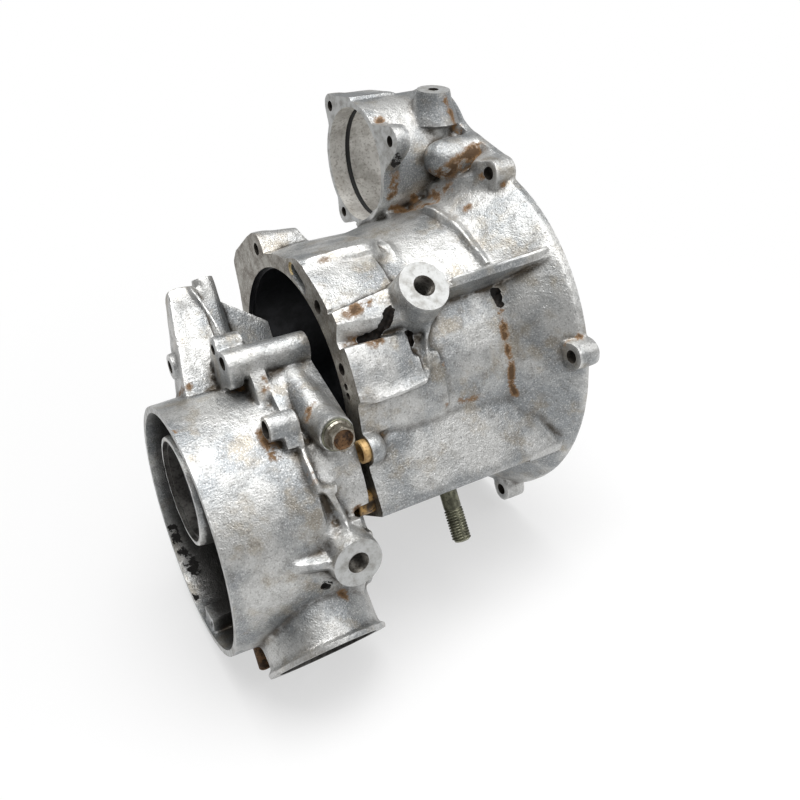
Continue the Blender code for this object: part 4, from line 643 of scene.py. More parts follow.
def stain_and_shade_field(points, stains):
    """How strongly each point is stained, or darkened with painted shade, along runs: full on a run and
    nothing beyond its reach.
    """
    total = np.zeros(len(points))
    for run, reach, strength in stains:
        stops = [np.array(stop) / 1000.0 for stop in run]
        for start, end in zip(stops, stops[1:] + stops[-1:]):
            way = end - start
            length = max(way @ way, 1e-12)
            share = np.clip((points - start) @ way / length, 0.0, 1.0)[:, None]
            away = np.linalg.norm(points - start - share * way, axis=1)
            near = np.clip(1.0 - away / (1.5 * reach / 1000.0), 0.0, 1.0)
            total = np.maximum(total, strength * near * near * (3.0 - 2.0 * near))
    return total


def fill_corners(mesh, turns=14, pace=0.5):
    """Give the hollow corners the generous fillets of a casting, and leave the other edges as they are."""
    corners = np.empty(len(mesh.vertices) * 3)
    normals = np.empty(len(mesh.vertices) * 3)
    least = 0.06 * sizes().voxel
    for turn in range(turns):
        mesh.vertices.foreach_get("co", corners)
        mesh.vertices.foreach_get("normal", normals)
        places = corners.reshape(-1, 3)
        out = normals.reshape(-1, 3)
        rise = ((neighbour_mean(mesh, places) - places) * out).sum(1)
        rise = np.where(rise > least, rise * pace, 0.0)
        mesh.vertices.foreach_set("co", (places + rise[:, None] * out).ravel())
        mesh.update()


def write_fields(mesh, rust_stains, soot_and_shade_stains, oiled_and_shaded):
    """Store where the skin is hollow, where it is an edge, where rust stains it, where soot, sealant and
    painted shade blot it, and where oil and painted shade darken it inside.
    """
    count = len(mesh.vertices)
    corners = np.empty(count * 3)
    normals = np.empty(count * 3)
    mesh.vertices.foreach_get("co", corners)
    mesh.vertices.foreach_get("normal", normals)
    corners = corners.reshape(-1, 3)
    normals = normals.reshape(-1, 3)
    bend = ((neighbour_mean(mesh, corners) - corners) * normals).sum(1) / sizes().voxel
    for turn in range(3):
        bend = neighbour_mean(mesh, bend)
    wide = bend
    for turn in range(8):
        wide = neighbour_mean(mesh, wide)
    # Hollow corners, where grime and painted shade go
    write_field(mesh, "hollow", (wide - HOLLOW_FROM) * HOLLOW_GAIN)
    # Sharp outer edges, rubbed bright and given a painted highlight
    write_field(mesh, "edge", (-bend - EDGE_FROM) * EDGE_GAIN)
    turn = np.array(TO_CASTING)
    points = corners @ turn[:3, :3].T + turn[:3, 3]
    write_field(mesh, "rust", stain_and_shade_field(points, rust_stains))
    # Black blots of soot and sealant, and painted shade over deep pockets
    write_field(mesh, "soot_and_shade", stain_and_shade_field(points, soot_and_shade_stains))
    # Oil and painted shade on the walls inside
    write_field(mesh, "oil_and_shade", oiled_and_shaded(points))


def case_oil_and_shade(points):
    """How much oil and painted shade darken the main case's skin: on the walls inside the barrel and the box.
    """
    away = np.hypot(points[:, 1] - BORE_AT[0], points[:, 2] - BORE_AT[1])
    inside = (away < BORE_RADIUS + 0.002) & (points[:, 0] < BORE_DEPTH + 0.003)
    window = (np.abs(points[:, 1]) < 0.0575) & (points[:, 2] > 0.0) & (points[:, 0] < 0.0955)
    return (inside | (window & (points[:, 0] > 0.0165))) * 1.0


def housing_oil_and_shade(points):
    """How much oil and painted shade darken the end housing's skin: inside the drum, darker deeper in, all
    but its lip and the end of the hub.
    """
    away = np.hypot(points[:, 1] - DRUM_AT[0], points[:, 2] - DRUM_AT[1])
    deep = np.clip((points[:, 0] - DRUM_MOUTH - 0.002) / 0.006, 0.0, 1.0)
    in_drum = (away < DRUM_BORE_RADIUS + 0.0015) & (points[:, 0] < DRUM_FLOOR + 0.001)
    hub_away = np.hypot(points[:, 1] - HUB_AT[0], points[:, 2] - HUB_AT[1])
    hub_end = (points[:, 0] < HUB_FACE + 0.002) & (hub_away < 0.038)
    return np.where(in_drum & ~hub_end, 0.95 * deep, 0.0)


def skinned(name, bm, rust_stains, soot_and_shade_stains, oiled_and_shaded):
    """The cast skin of one casting: edges rounded as a mould leaves them, round walls truly round."""
    rough = shown(name + "_rough", bm, "cast_skin")
    remesh = rough.modifiers.new("grid", "REMESH")
    remesh.mode = "VOXEL"
    remesh.voxel_size = sizes().voxel
    ease = rough.modifiers.new("mould edges", "SMOOTH")
    ease.factor = 0.5
    ease.iterations = 5
    mesh = bpy.data.meshes.new_from_object(rough.evaluated_get(bpy.context.evaluated_depsgraph_get()))
    bpy.data.objects.remove(rough)
    smooth_facets(mesh)
    fill_corners(mesh)
    write_fields(mesh, rust_stains, soot_and_shade_stains, oiled_and_shaded)
    mesh.materials.clear()
    mesh.materials.append(finish("cast_skin"))
    mesh.name = name
    made = bpy.data.objects.new(name, mesh)
    bpy.context.scene.collection.objects.link(made)
    return made


def machined(casting, cutters, most_triangles):
    """Mill and drill a casting. What each cutter leaves takes the cutter's finish."""
    group = bpy.data.collections.new(casting.name + " cutters")
    for cutter in cutters:
        group.objects.link(cutter)
    thin = casting.modifiers.new("fewer faces", "DECIMATE")
    thin.ratio = min(1.0, most_triangles / (2.0 * len(casting.data.polygons)))
    cut = casting.modifiers.new("milling", "BOOLEAN")
    cut.operation = "DIFFERENCE"
    cut.operand_type = "COLLECTION"
    cut.collection = group
    cut.solver = "EXACT"
    cut.material_mode = "TRANSFER"
    mesh = bpy.data.meshes.new_from_object(casting.evaluated_get(bpy.context.evaluated_depsgraph_get()))
    for cutter in cutters:
        bpy.data.objects.remove(cutter)
    bpy.data.collections.remove(group)
    casting.modifiers.clear()
    casting.data = mesh
    mesh.shade_smooth()
    mesh.set_sharp_from_angle(angle=radians(38.0))
    print(casting.name, "has", sum(len(face.vertices) - 2 for face in mesh.polygons), "triangles",
          [each.name for each in mesh.materials])
    return casting


def bar_cutter(name, place, direction, depth, radius, finish_name, over=0.004, steps=64):
    """A round cutter that reaches from above a face down to a depth."""
    return turned(name, [(0.0, -depth), (radius, -depth), (radius, over), (0.0, over)],
                  place, direction, finish_name, steps)


def facing_cutter(place, direction, radius, finish_name, steps=64):
    """A flat cutter that takes everything above a face, within a radius."""
    return turned("facing", [(0.0, 0.0), (radius, 0.0), (radius, 0.006), (0.0, 0.006)],
                  place, direction, finish_name, steps)


def slab_cutter(low, high, finish_name):
    """A flat cutter with square corners, given by two corners in the casting frame."""
    bm = bmesh.new()
    size = Vector(high) - Vector(low)
    middle = (Vector(high) + Vector(low)) / 2.0
    placed = CASTING @ Matrix.Translation(middle) @ Matrix.Diagonal((*size, 1.0))
    bmesh.ops.create_cube(bm, size=1.0, matrix=placed)
    return shown("slab", bm, finish_name)


def threaded_cutter(place, direction, depth):
    """A tapped hole: a cutter with the rings of a thread and a chamfered mouth."""
    pitch = sizes().thread_pitch
    crest = TAP_RADIUS + TAP_THREAD_DEEP
    mouth = TAP_RADIUS + TAP_CHAMFER
    profile = [(0.0, -depth), (TAP_RADIUS, -depth)]
    height = pitch - depth
    while height < -pitch:
        profile += [(TAP_RADIUS, height), (crest, height + pitch * 0.45), (crest, height + pitch * 0.6)]
        height += pitch
    profile += [(TAP_RADIUS, -TAP_CHAMFER), (mouth, 0.0), (mouth, 0.004), (0.0, 0.004)]
    return turned("tapped_hole", profile, place, direction, "thread_wall", 40)


def breather_face():
    """The middle of the flat face of the small boss on the starter housing."""
    side = facing(BREATHER_ANGLE + 90.0)
    return at(BREATHER_X, STARTER_AT) + facing(BREATHER_ANGLE) * BREATHER_OUT + side * BREATHER_SIDE


def main_case_holes():
    """The drilled holes of the main case.

    Each is a place, a direction, a radius, a depth, and how deep a plug fills the cast hole first.
    """
    holes = [(at(0.0, place), BACK, radius, depth, depth) for place, radius, depth in CASE_FLANGE_HOLES]
    holes += [(at(RIM_FACE, polar(LUG_CIRCLE, angle, BELL_AT)), ALONG, *LUG_HOLE) for angle in LUG_ANGLES]
    holes += [(at(STARTER_FACE, (STARTER_AT[0] + y, STARTER_AT[1] + z)), BACK, *EAR_HOLE)
              for y, z in STARTER_EARS]
    holes += [(Vector((x, y, BASE_FACE)), UP, radius, depth, depth) for x, y, radius, depth in BASE_HOLES]
    holes.append((breather_face(), facing(BREATHER_ANGLE), *BREATHER_HOLE))
    return holes


# Holes of the mating flange, each a (y, z) place, a radius and a depth
CASE_FLANGE_HOLES = (
    ((0.0, -0.0945), 0.0042, 0.022), ((0.0745, -0.0400), 0.0042, 0.022), ((0.0825, -0.0010), 0.0038, 0.022),
    ((0.0812, 0.0095), 0.0022, 0.012), ((0.0805, 0.0150), 0.0022, 0.012),
    (UPPER_DOWEL_AT, 0.0073, 0.0083), (LOWER_DOWEL_AT, 0.0073, 0.0083))
# Holes of the base face, each an x, a y, a radius and a depth
BASE_HOLES = (
    (0.010, 0.068, 0.0042, 0.018), (0.010, -0.068, 0.0042, 0.018), (0.106, 0.068, 0.0042, 0.018),
    (0.106, -0.068, 0.0042, 0.018), (0.0518, 0.0660, 0.0063, 0.0203), (0.0518, -0.0660, 0.0060, 0.020))
# Stains, and black blots of soot, sealant and painted shade, each a run of (x, y, z) points in millimetres of
# the casting frame, a reach in millimetres and a strength
CASE_RUST = (
    (((87, 54, -149),), 5.0, 1.1), (((88, 51, -112), (86, 43, -103)), 5.5, 1.0),
    (((89, 33, -97), (96, 33, -92), (102, 39, -92), (106, 48, -91), (112, 53, -92)), 5.0, 0.9),
    (((112, 60, -105), (121, 70, -107), (131, 73, -111), (138, 75, -114)), 8.0, 1.0),
    (((104, 40, -99), (112, 52, -97), (118, 62, -96)), 6.0, 0.9),
    (((110, 61, -122),), 4.0, 0.6), (((130, 69, -150), (136, 64, -139), (140, 60, -133)), 5.0, 0.8),
    (((130, 84, -95), (139, 93, -85)), 4.5, 0.7), (((118, 77, -78),), 4.5, 1.0),
    (((9, 96, -30), (20, 98, -34)), 5.5, 0.9), (((7, 89, -13), (14, 89, -13), (21, 96, -11)), 6.0, 1.0),
    (((12, 69, -66), (22, 70, -66)), 4.0, 0.55),
    (((107, 97, -14), (106, 95, 10), (107, 89, 31), (107, 85, 39), (109, 83, 45)), 3.4, 1.0),
    (((59, 84, 37), (84, 82, 40)), 3.5, 0.65), (((61, 90, 13),), 3.6, 0.6),
    (((132, 116, 26), (142, 120, 21)), 4.5, 0.9), (((14, 80, 41),), 3.5, 0.6), (((1, 96, 18),), 2.5, 1.0))
# Black blots on the case: painted shade over its deep pockets, and soot
CASE_SOOT_AND_SHADE = (
    (((82, 72, -120), (86, 60, -116)), 4.5, 0.9), (((107, 96, -18),), 3.5, 0.9),
    (((13, 89, -13), (24, 92, -15), (30, 102, -23)), 3.4, 1.0), (((42, 92, -9),), 3.6, 1.0))
# Blow holes and deep corners, each a run of millimetre points and a radius in millimetres
CASE_POCKETS = (
    (((15, 90, -13), (23, 92, -15), (27, 96, -18)), 4.2), (((27, 97, -18), (30, 105, -26)), 4.4),
    (((42, 92, -11), (43, 91, -5)), 4.2), (((107, 97, -20), (107, 98, -12)), 3.6))
# Raised beads and edges of the case's pads, each a run of millimetre points and a radius in metres
CASE_BEADS = (
    (((-1, 88, 21), (9, 94, 21), (23, 95, 21), (34, 95, 20), (43, 95, 19), (49, 92, 14),
      (50, 93, 7)), 0.0023),
    (((50, 93, 7), (56, 93, 8), (59, 89, 14), (59, 88, 25), (59, 84, 37)), 0.0018),
    (((50, 92, 6), (53, 93, -5), (54, 101, -13)), 0.0020),
    (((72, 110, -33), (97, 113, -34), (125, 117, -35), (137, 118, -36)), 0.0016),
    (((0, 69, -65), (12, 69, -65), (25, 70, -66), (38, 71, -66), (48, 71, -66)), 0.0018),
    (((5, 67, -69), (17, 68, -69), (30, 69, -70), (44, 69, -70), (58, 60, -73), (63, 63, -67), (62, 68, -61),
      (60, 72, -55)), 0.0020),
    (((104, 51, -88), (105, 59, -83), (106, 67, -76), (107, 76, -68), (107, 83, -58), (108, 89, -47),
      (109, 93, -39)), 0.0026),
    (((110, 81, 49), (118, 80, 60), (125, 80, 74), (132, 80, 86)), 0.0018))
HOUSING_RUST = (
    (((-22, 75, 13), (-26, 76, 20)), 5.0, 0.85), (((-52, 68, 21), (-51, 74, 31), (-49, 76, 36)), 5.0, 0.95),
    (((-38, 55, -10), (-39, 55, -3)), 4.2, 0.7), (((-77, 4, -16), (-73, 20, -18)), 4.2, 0.75),
    (((-54, 34, -7), (-46, 36, -6)), 4.9, 0.55), (((-35, 81, 43), (-36, 84, 54)), 4.0, 0.7),
    (((-38, 81, 81), (-24, 70, 80)), 5.0, 0.65), (((-29, 59, 129), (-32, 59, 125)), 4.3, 0.8),
    (((-96, 53, 6),), 3.5, 0.9), (((-13, 75, 79),), 4.7, 0.9), (((-20, 64, 1),), 4.7, 0.5))
# Black blots on the housing: soot and sealant in the drum, and painted shade over its pocket
HOUSING_SOOT_AND_SHADE = (
    (((-42, 66, 117),), 5.0, 1.2), (((-94, -76, 72), (-92, -73, 88), (-89, -67, 103)), 5.5, 0.8),
    (((-96, -56, 118),), 4.0, 1.1), (((-95, -27, 134),), 3.6, 1.1))
HOUSING_POCKETS = ((((-43, 66, 116), (-40, 66, 118)), 2.4),)
HOUSING_BEADS = (
    (((-35, 78, 35), (-36, 81, 42), (-36, 83, 49), (-36, 84, 55), (-34, 84, 60), (-31, 84, 62),
      (-25, 83, 63)), 0.0021),
    (((-29, 83, 65), (-26, 81, 75), (-24, 80, 83), (-25, 84, 90)), 0.0024),
    (((-15, 81, 44), (-17, 80, 51), (-17, 80, 56), (-24, 79, 58)), 0.0010),
    (((-53, 9, -78), (-50, 12, -70), (-48, 15, -61), (-46, 17, -52), (-45, 19, -44)), 0.0014))
# Lumps that the mould left on the housing, each the hull of a few millimetre corners: the floor of the
# column's valley, and the web behind the drum's end
HOUSING_FILLERS = (
    ((-70, 14, -20), (-55, 14, -20), (-70, 20, -20), (-55, 20, -20),
     (-63, 3, -71), (-55, 3, -71), (-63, 8.5, -71), (-55, 8.5, -71)),
    ((-37, 60, 35), (-23, 60, 35), (-37, 77.5, 35), (-23, 77.5, 35),
     (-37, 60, 64), (-23, 60, 64), (-37, 83, 63), (-23, 82, 63)),
    ((-37, 60, 62), (-21, 60, 62), (-37, 80, 62), (-21, 79, 62),
     (-37, 60, 91), (-21, 60, 91), (-37, 79, 91), (-21, 78, 91)))


class CRANKCASE_OT_main_case(bpy.types.Operator):
    """Cast, mill and drill the main case"""
    bl_idname = "crankcase.main_case"
    bl_label = "Main case"

    def execute(self, context):
        side_x, side_reach, side_angle = SIDE_BOSS
        side_place = at(side_x, polar(side_reach, side_angle))
        side_out = facing(side_angle)
        breather_out = facing(BREATHER_ANGLE)
        flange_middle = at(0.0, (0.0, 0.0))
        rim_middle = at(RIM_FACE, (0.0, -0.03))
        bore_mouth = at(0.0, BORE_AT)
        starter_mouth = at(STARTER_FACE, STARTER_AT)
        starter_deep = RIM_FACE - STARTER_FACE
        bm = copied("main_case")
        leave_stock(bm, [
            (flange_middle, BACK, FLANGE_REACH), (at(0.055, (0.0, BASE_FACE)), UP, 0.12),
            (rim_middle, ALONG, RIM_REACH), (starter_mouth, BACK, 0.072),
            (side_place, side_out, BOSS_STOCK_RADIUS), (breather_face(), breather_out, 0.012)])
        over = sizes().stock
        cutters = []
        for place, direction, radius, depth, fill in main_case_holes():
            add_round(bm, place, direction, -fill, over, radius + PLUG_WALL)
            cutters.append(bar_cutter("drill", place, direction, depth, radius, "hole_wall", 0.004,
                                      DRILL_STEPS))
        add_round(bm, side_place, side_out, -SIDE_TAP_DEPTH, over, TAP_PLUG_RADIUS)
        cutters.append(threaded_cutter(side_place, side_out, SIDE_TAP_DEPTH))
        add_round(bm, bore_mouth, BACK, -BORE_DEPTH - PLUG_WALL, over,
                  BORE_STEP_RADIUS + PLUG_WALL, RING_STEPS)
        add_round(bm, starter_mouth, BACK, STARTER_FACE - RIM_FACE - over, over,
                  STARTER_BORE_RADIUS + PLUG_WALL, RING_STEPS)
        cutters += [
            bar_cutter("bore", bore_mouth, BACK, BORE_DEPTH, BORE_RADIUS, "oil_and_shade_bore", 0.004, BORE_STEPS),
            bar_cutter("bore_step", bore_mouth, BACK, BORE_STEP_DEEP, BORE_STEP_RADIUS, "oil_and_shade_bore",
                       0.005, BORE_STEPS),
            bar_cutter("web_bore", at(0.114, (0.0, 0.0)), ALONG, 0.020, 0.0340, "oil_and_shade_bore",
                       0.002, RING_STEPS),
            bar_cutter("starter_bore", starter_mouth, BACK, starter_deep + 0.004, STARTER_BORE_RADIUS,
                       "starter_bore_wall", 0.006, WIDE_STEPS),
            turned("starter_groove", STARTER_GROOVE, starter_mouth, BACK, "hole_wall", WIDE_STEPS),
            turned("bell_cavity", BELL_CAVITY, at(0.112, BELL_AT), ALONG, "cast_skin", BORE_STEPS),
            slab_cutter((0.018, -0.056, 0.0), (0.094, 0.056, BASE_FACE + 0.006), "oil_and_shade_bore"),
            facing_cutter(flange_middle, BACK, FLANGE_REACH, "milled_face"),
            facing_cutter(rim_middle, ALONG, RIM_REACH, "milled_face"),
            facing_cutter(side_place, side_out, BOSS_FACING_RADIUS, "bright_face"),
            facing_cutter(breather_face(), breather_out, 0.016, "bright_face"),
            slab_cutter((-0.010, -0.100, BASE_FACE), (0.110, 0.100, BASE_FACE + 0.006), "milled_face"),
            slab_cutter((STARTER_FACE - 0.006, -0.060, -0.220), (STARTER_FACE, 0.120, -0.0985),
                        "bright_face")]
        for run, radius in CASE_BEADS:
            add_bead(bm, run, radius)
        cutters += [pocket_cutter(run, radius * MILLIMETRE) for run, radius in CASE_POCKETS]
        cutters += [
            bar_cutter("gasket_scrap", at(0.0, place), BACK, 0.0011, radius, "gasket_paper", 0.002, 24)
            for place, radius in GASKET_SCRAPS]
        skin = skinned("main_case_skin", bm, CASE_RUST, CASE_SOOT_AND_SHADE, case_oil_and_shade)
        hung(machined(skin, cutters, MOST_TRIANGLES), "main_case")
        return {"FINISHED"}


class CRANKCASE_OT_end_housing(bpy.types.Operator):
    """Cast, mill and drill the end housing"""
    bl_idname = "crankcase.end_housing"
    bl_label = "End housing"

    def execute(self, context):
        port_out = facing(PORT_ANGLE)
        port_face = at(PORT_X, DRUM_AT) + port_out * PORT_REACH
        joint_middle = at(-JOINT_GAP, (0.0, 0.0))
        drum_mouth = at(DRUM_MOUTH, DRUM_AT)
        hub_mouth = at(HUB_FACE, HUB_AT)
        boss_x, (boss_y, boss_z), boss_angle = DRUM_BOSS
        bosses = [(at(boss_x, (boss_y, boss_z)), facing(boss_angle)),
                  (at(boss_x, (-boss_y, boss_z)), facing(180.0 - boss_angle))]
        bm = copied("end_housing")
        faces = [(joint_middle, ALONG, FLANGE_REACH), (drum_mouth, BACK, 0.083), (hub_mouth, BACK, 0.038),
                 (port_face, port_out, 0.040)]
        faces += [(place, out, BOSS_STOCK_RADIUS) for place, out in bosses]
        leave_stock(bm, faces)
        over = sizes().stock
        cutters = []
        for x, place, radius, depth in HOUSING_HOLES:
            add_round(bm, at(x, place), BACK, -depth, 0.0, radius + PLUG_WALL)
            cutters.append(bar_cutter("drill", at(x, place), BACK, depth, radius, "hole_wall", 0.004,
                                      DRILL_STEPS))
        for place, out in bosses:
            add_round(bm, place, out, -DRUM_TAP_DEPTH, over, TAP_PLUG_RADIUS)
            cutters.append(threaded_cutter(place, out, DRUM_TAP_DEPTH))
            cutters.append(facing_cutter(place, out, BOSS_FACING_RADIUS, "bright_face"))
        add_round(bm, port_face, port_out, -0.030, over, PORT_BORE_RADIUS + PLUG_WALL, RING_STEPS)
        add_round(bm, hub_mouth, BACK, -0.0565, over, 0.0335, RING_STEPS)
        cutters += [
            bar_cutter("port_bore", port_face, port_out, 0.032, PORT_BORE_RADIUS, "port_wall",
                       0.006, RING_STEPS),
            turned("hub_bore", HUB_BORE, hub_mouth, BACK, "port_wall", RING_STEPS),
            facing_cutter(joint_middle, ALONG, FLANGE_REACH, "milled_face"),
            facing_cutter(drum_mouth, BACK, 0.10, "bright_face", WIDE_STEPS),
            facing_cutter(port_face, port_out, 0.045, "bright_face", RING_STEPS)]
        for corners in HOUSING_FILLERS:
            add_filler(bm, corners)
        for run, radius in HOUSING_BEADS:
            add_bead(bm, run, radius)
        cutters += [pocket_cutter(run, radius * MILLIMETRE) for run, radius in HOUSING_POCKETS]
        skin = skinned("end_housing_skin", bm, HOUSING_RUST, HOUSING_SOOT_AND_SHADE, housing_oil_and_shade)
        hung(machined(skin, cutters, MOST_TRIANGLES), "end_housing")
        return {"FINISHED"}


def helical_stud():
    """The stud with a true thread: a fine tube whose radius follows the turn and the height together."""
    pitch = sizes().thread_pitch
    depth = sizes().thread_depth
    sides = 48
    bottom = BASE_FACE - STUD_SUNK
    length = STUD_TIP - bottom
    bm = bmesh.new()
    bmesh.ops.create_circle(bm, segments=sides, radius=STUD_RADIUS, cap_ends=True)
    rim = list(bm.edges)
    levels = [0.0, STUD_THREAD_START - bottom - 0.001]
    step = pitch / 8.0
    while levels[-1] + step < length - 0.0012:
        levels.append(levels[-1] + step)
    levels.append(length)
    height = 0.0
    for level in levels[1:]:
        grown = bmesh.ops.extrude_edge_only(bm, edges=rim)
        corners = [item for item in grown["geom"] if isinstance(item, bmesh.types.BMVert)]
        rim = [item for item in grown["geom"] if isinstance(item, bmesh.types.BMEdge)
               and item.verts[0] in corners and item.verts[1] in corners]
        bmesh.ops.translate(bm, verts=corners, vec=(0.0, 0.0, level - height))
        height = level
    bmesh.ops.edgenet_fill(bm, edges=rim)
    thread_start = levels[1]
    for corner in bm.verts:
        if corner.co.z <= thread_start + 1e-6:
            radius = STUD_RADIUS - 0.0004
        else:
            phase = (corner.co.z / pitch - atan2(corner.co.y, corner.co.x) / (2.0 * pi)) % 1.0
            ridge = min(max(1.6 - abs(phase - 0.5) * 4.2, 0.0), 1.0)
            fade = min(1.0, (corner.co.z - thread_start) / pitch, (length - corner.co.z) / pitch + 0.35)
            radius = STUD_RADIUS - depth * (1.0 - ridge * fade)
        if corner.co.z > length - 1e-6:
            radius = STUD_RADIUS - 0.0014
        arm = Vector((corner.co.x, corner.co.y, 0.0)).normalized()
        corner.co = Vector((arm.x * radius, arm.y * radius, corner.co.z))
    bmesh.ops.recalc_face_normals(bm, faces=bm.faces)
    bmesh.ops.transform(bm, matrix=standing(Vector((*STUD_AT, bottom)), UP), verts=bm.verts)
    for face in bm.faces:
        face.smooth = True
    stud = shown("base_stud_threaded", bm, "zinc_plating")
    stud.data.set_sharp_from_angle(angle=radians(50.0))
    return stud


class CRANKCASE_OT_fasteners(bpy.types.Operator):
    """Make the stud, the dowels, the bolt with its washer, and the plug"""
    bl_idname = "crankcase.fasteners"
    bl_label = "Fasteners"

    def execute(self, context):
        hung(helical_stud(), "base_stud")
        bore = 0.0054
        rim = 0.0070
        ease = 0.0006
        dowels = (("upper_dowel", UPPER_DOWEL_AT, -0.0045, "yellow_plating"),
                  ("lower_dowel", LOWER_DOWEL_AT, -0.0108, "oiled_plating"))
        for name, place, start, plating in dowels:
            long = 0.008 - start
            sleeve = [(bore, ease), (bore + ease, 0.0), (rim - ease, 0.0), (rim, ease), (rim, long - ease),
                      (rim - ease, long), (bore, long)]
            hung(turned(name + "_plated", sleeve, at(start, place), ALONG, plating), name)
        out = facing(BOLT_ANGLE)
        seat = at(BOLT_X, BOLT_SEAT_AT)
        washer = [(0.0043, 0.0), (0.0098, 0.0), (0.0100, 0.0003), (0.0100, 0.0013), (0.0097, 0.0016),
                  (0.0043, 0.0016)]
        hung(turned("sealing_washer_pressed", washer, seat + out * 0.0003, out, "zinc_plating"),
             "sealing_washer")
        bolt = shown("flange_bolt_forged", copied("flange_bolt"), "bolt_steel", "rusty_steel")
        foot = CASTING @ seat
        axis = CASTING.to_3x3() @ out
        for face in bolt.data.polygons:
            arm = face.center - foot
            height = arm.dot(axis)
            from_axis = (arm - height * axis).length
            face.material_index = int(height > BOLT_DISH_LEVEL and from_axis < BOLT_DISH_RADIUS)
        edge = bolt.modifiers.new("worn edges", "BEVEL")
        edge.width = 0.00025
        edge.segments = 2
        edge.limit_method = "ANGLE"
        edge.angle_limit = radians(35.0)
        hung(bolt, "flange_bolt")
        plug = [(0.0, 0.0), (0.0040, 0.0), (0.0040, 0.0190), (0.0030, 0.0200), (0.0, 0.0200)]
        hung(turned("drain_plug_turned", plug, Vector((-0.0765, 0.0060, 0.1450)), UP, "rusty_steel"),
             "drain_plug")
        return {"FINISHED"}


def lip_seal(name, replaced, place, start, wide, outer, inner, toward):
    """A rubber shaft seal: a U-shaped ring with its lip inside."""
    wall = 0.0022
    floor = 0.0024
    lip = inner + 0.0016
    profile = [
        (inner + 0.0012, 0.0), (outer - 0.0003, 0.0), (outer, 0.0003), (outer, wide), (outer - wall, wide),
        (outer - wall, floor), (lip + 0.0024, floor), (lip + 0.0016, wide - 0.0040),
        (lip + 0.0028, wide - 0.0012), (lip + 0.0010, wide - 0.0008), (inner, wide - 0.0026)]
    hung(turned(name, profile, at(start, place), toward, "black_rubber", RING_STEPS), replaced)


class CRANKCASE_OT_seals(bpy.types.Operator):
    """Make the rubber seals"""
    bl_idname = "crankcase.seals"
    bl_label = "Seals"

    def execute(self, context):
        lip_seal("shaft_seal_moulded", "shaft_seal", HUB_AT, -0.0830, 0.0070, 0.0300, 0.0210, ALONG)
        lip_seal("rear_seal_moulded", "rear_seal", (0.0, 0.0), 0.1110, 0.0090, 0.0337, 0.0190, BACK)
        ring = [(0.0391, 0.0), (0.0391, 0.0030), (0.0376, 0.0030), (0.0368, 0.0021), (0.0368, 0.0009),
                (0.0376, 0.0)]
        hung(turned("starter_bore_seal_moulded", ring, at(0.0928, STARTER_AT), ALONG, "black_rubber",
                    RING_STEPS), "starter_bore_seal")
        return {"FINISHED"}


class CRANKCASE_OT_bearing(bpy.types.Operator):
    """Give the bearing its ground steel"""
    bl_idname = "crankcase.bearing"
    bl_label = "Bearing"

    def execute(self, context):
        for name, piece in frame["nodes"].items():
            if name.startswith("bearing_"):
                piece.data.materials.clear()
                piece.data.materials.append(finish("ground_steel"))
        return {"FINISHED"}


def floor_finish():
    """A pale floor: matt under the lamps, and lifted towards white where a camera or mirror sees it."""
    tree, shader, where = new_material("pale_floor")
    feed(tree, shader, {"Base Color": "#F2F2F2", "Roughness": 0.9})
    seen = node(tree, "ShaderNodeLightPath", "Is Camera Ray")
    for way in ("Is Glossy Ray", "Is Transmission Ray"):
        seen = node(tree, "ShaderNodeMath", "Value", {0: seen, 1: node(tree, "ShaderNodeLightPath", way)},
                    operation="ADD", use_clamp=True)
    away = node(tree, "ShaderNodeVectorMath", "Value", {0: where}, operation="LENGTH")
    lift = node(tree, "ShaderNodeMapRange", "Result", {
        "Value": away, "From Min": 0.12, "From Max": 0.60, "To Min": NEAR_LIFT, "To Max": 1.0},
        interpolation_type="SMOOTHSTEP")
    share = node(tree, "ShaderNodeMath", "Value", {0: seen, 1: lift}, operation="MULTIPLY")
    white = node(tree, "ShaderNodeEmission", "Emission", {"Color": "#FFFFFF", "Strength": 1.0})
    blend = node(tree, "ShaderNodeMixShader", "Shader", {0: share, 1: shader.outputs[0], 2: white})
    tree.links.new(blend, tree.nodes["Material Output"].inputs["Surface"])


def studio_world():
    """Soft even light from all round, and white where the camera sees past the floor."""
    world = bpy.data.worlds.new("studio")
    world.use_nodes = True
    tree = world.node_tree
    seen = node(tree, "ShaderNodeMath", "Value", {
        0: node(tree, "ShaderNodeLightPath", "Is Camera Ray"),
        1: node(tree, "ShaderNodeLightPath", "Is Transmission Ray")}, operation="ADD", use_clamp=True)
    strength = node(tree, "ShaderNodeMapRange", "Result", {
        "Value": seen, "To Min": SKY_STRENGTH, "To Max": 1.0})
    feed(tree, tree.nodes["Background"], {"Color": "#FFFFFF", "Strength": strength})
    return world


def area_lamp(name, place, target, size, power):
    """A square soft lamp that looks at a point."""
    light = bpy.data.lights.new(name, "AREA")
    light.size = size
    light.energy = power
    lamp = bpy.data.objects.new(name, light)
    lamp.location = place
    lamp.rotation_euler = (Vector(target) - Vector(place)).to_track_quat("-Z", "Y").to_euler()
    bpy.context.scene.collection.objects.link(lamp)


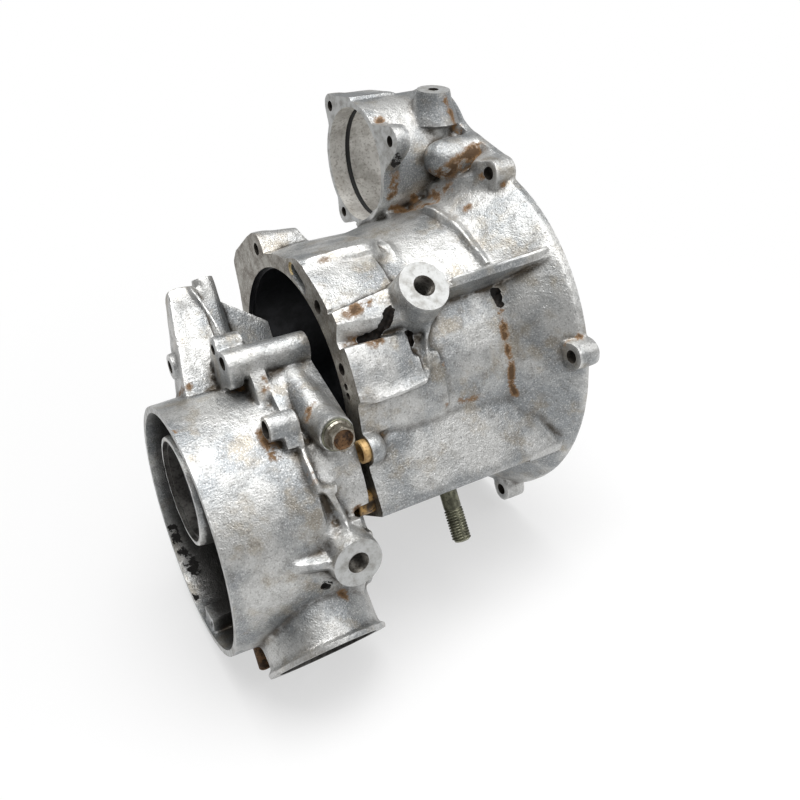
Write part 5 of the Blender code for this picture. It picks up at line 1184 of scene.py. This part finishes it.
class CRANKCASE_OT_stage(bpy.types.Operator):
    """Set the floor, the lamps, the sky and the camera"""
    bl_idname = "crankcase.stage"
    bl_label = "Stage"

    def execute(self, context):
        scene = context.scene
        bm = bmesh.new()
        bmesh.ops.create_grid(bm, x_segments=1, y_segments=1, size=4.0)
        floor_finish()
        shown("floor", bm, "pale_floor")
        scene.world = studio_world()
        area_lamp("overhead", (0.05, 0.05, 1.35), (0.0, 0.0, 0.12), 1.0, 16.0)
        area_lamp("front_right", (0.55, -0.70, 1.10), (0.0, 0.0, 0.12), 1.2, 9.0)
        camera = bpy.data.cameras.new("photo_camera")
        camera.sensor_width = 36.0
        camera.lens = CAMERA_LENS
        camera.clip_start = 0.01
        seat = bpy.data.objects.new("photo_camera", camera)
        scene.collection.objects.link(seat)
        turn = Matrix((CAMERA_RIGHT, -CAMERA_DOWN, -CAMERA_AHEAD)).transposed()
        aside, below, away = CAMERA_TO_ORIGIN
        middle = aside * CAMERA_RIGHT + below * CAMERA_DOWN + away * CAMERA_AHEAD
        seat.matrix_world = CASTING @ Matrix.Translation(-middle) @ turn.to_4x4()
        scene.camera = seat
        scene.view_settings.view_transform = "Standard"
        return {"FINISHED"}


class CRANKCASE_PT_panel(bpy.types.Panel):
    """The steps that build the crankcase"""
    bl_idname = "CRANKCASE_PT_panel"
    bl_label = "Engine crankcase"
    bl_space_type = "VIEW_3D"
    bl_region_type = "UI"
    bl_category = "Crankcase"

    def draw(self, context):
        for name in CrankcaseSizes.__annotations__:
            self.layout.prop(context.scene.crankcase_sizes, name)
        for name in CrankcaseColours.__annotations__:
            self.layout.prop(context.scene.crankcase_colours, name)
        for step in STEPS:
            self.layout.operator(step.bl_idname)


STEPS = (
    CRANKCASE_OT_main_case, CRANKCASE_OT_end_housing, CRANKCASE_OT_fasteners, CRANKCASE_OT_seals,
    CRANKCASE_OT_bearing, CRANKCASE_OT_stage)


CLASSES = (CrankcaseSizes, CrankcaseColours, CRANKCASE_PT_panel) + STEPS


def register():
    for each in CLASSES:
        bpy.utils.register_class(each)
    bpy.types.Scene.crankcase_sizes = bpy.props.PointerProperty(type=CrankcaseSizes)
    bpy.types.Scene.crankcase_colours = bpy.props.PointerProperty(type=CrankcaseColours)


def unregister():
    del bpy.types.Scene.crankcase_colours
    del bpy.types.Scene.crankcase_sizes
    for each in reversed(CLASSES):
        bpy.utils.unregister_class(each)


def main():
    """Build everything in order and note the sizes."""
    register()
    make_finishes()
    bpy.ops.crankcase.main_case()
    bpy.ops.crankcase.end_housing()
    bpy.ops.crankcase.fasteners()
    bpy.ops.crankcase.seals()
    bpy.ops.crankcase.bearing()
    bpy.ops.crankcase.stage()


if __name__ == "__main__":
    main()
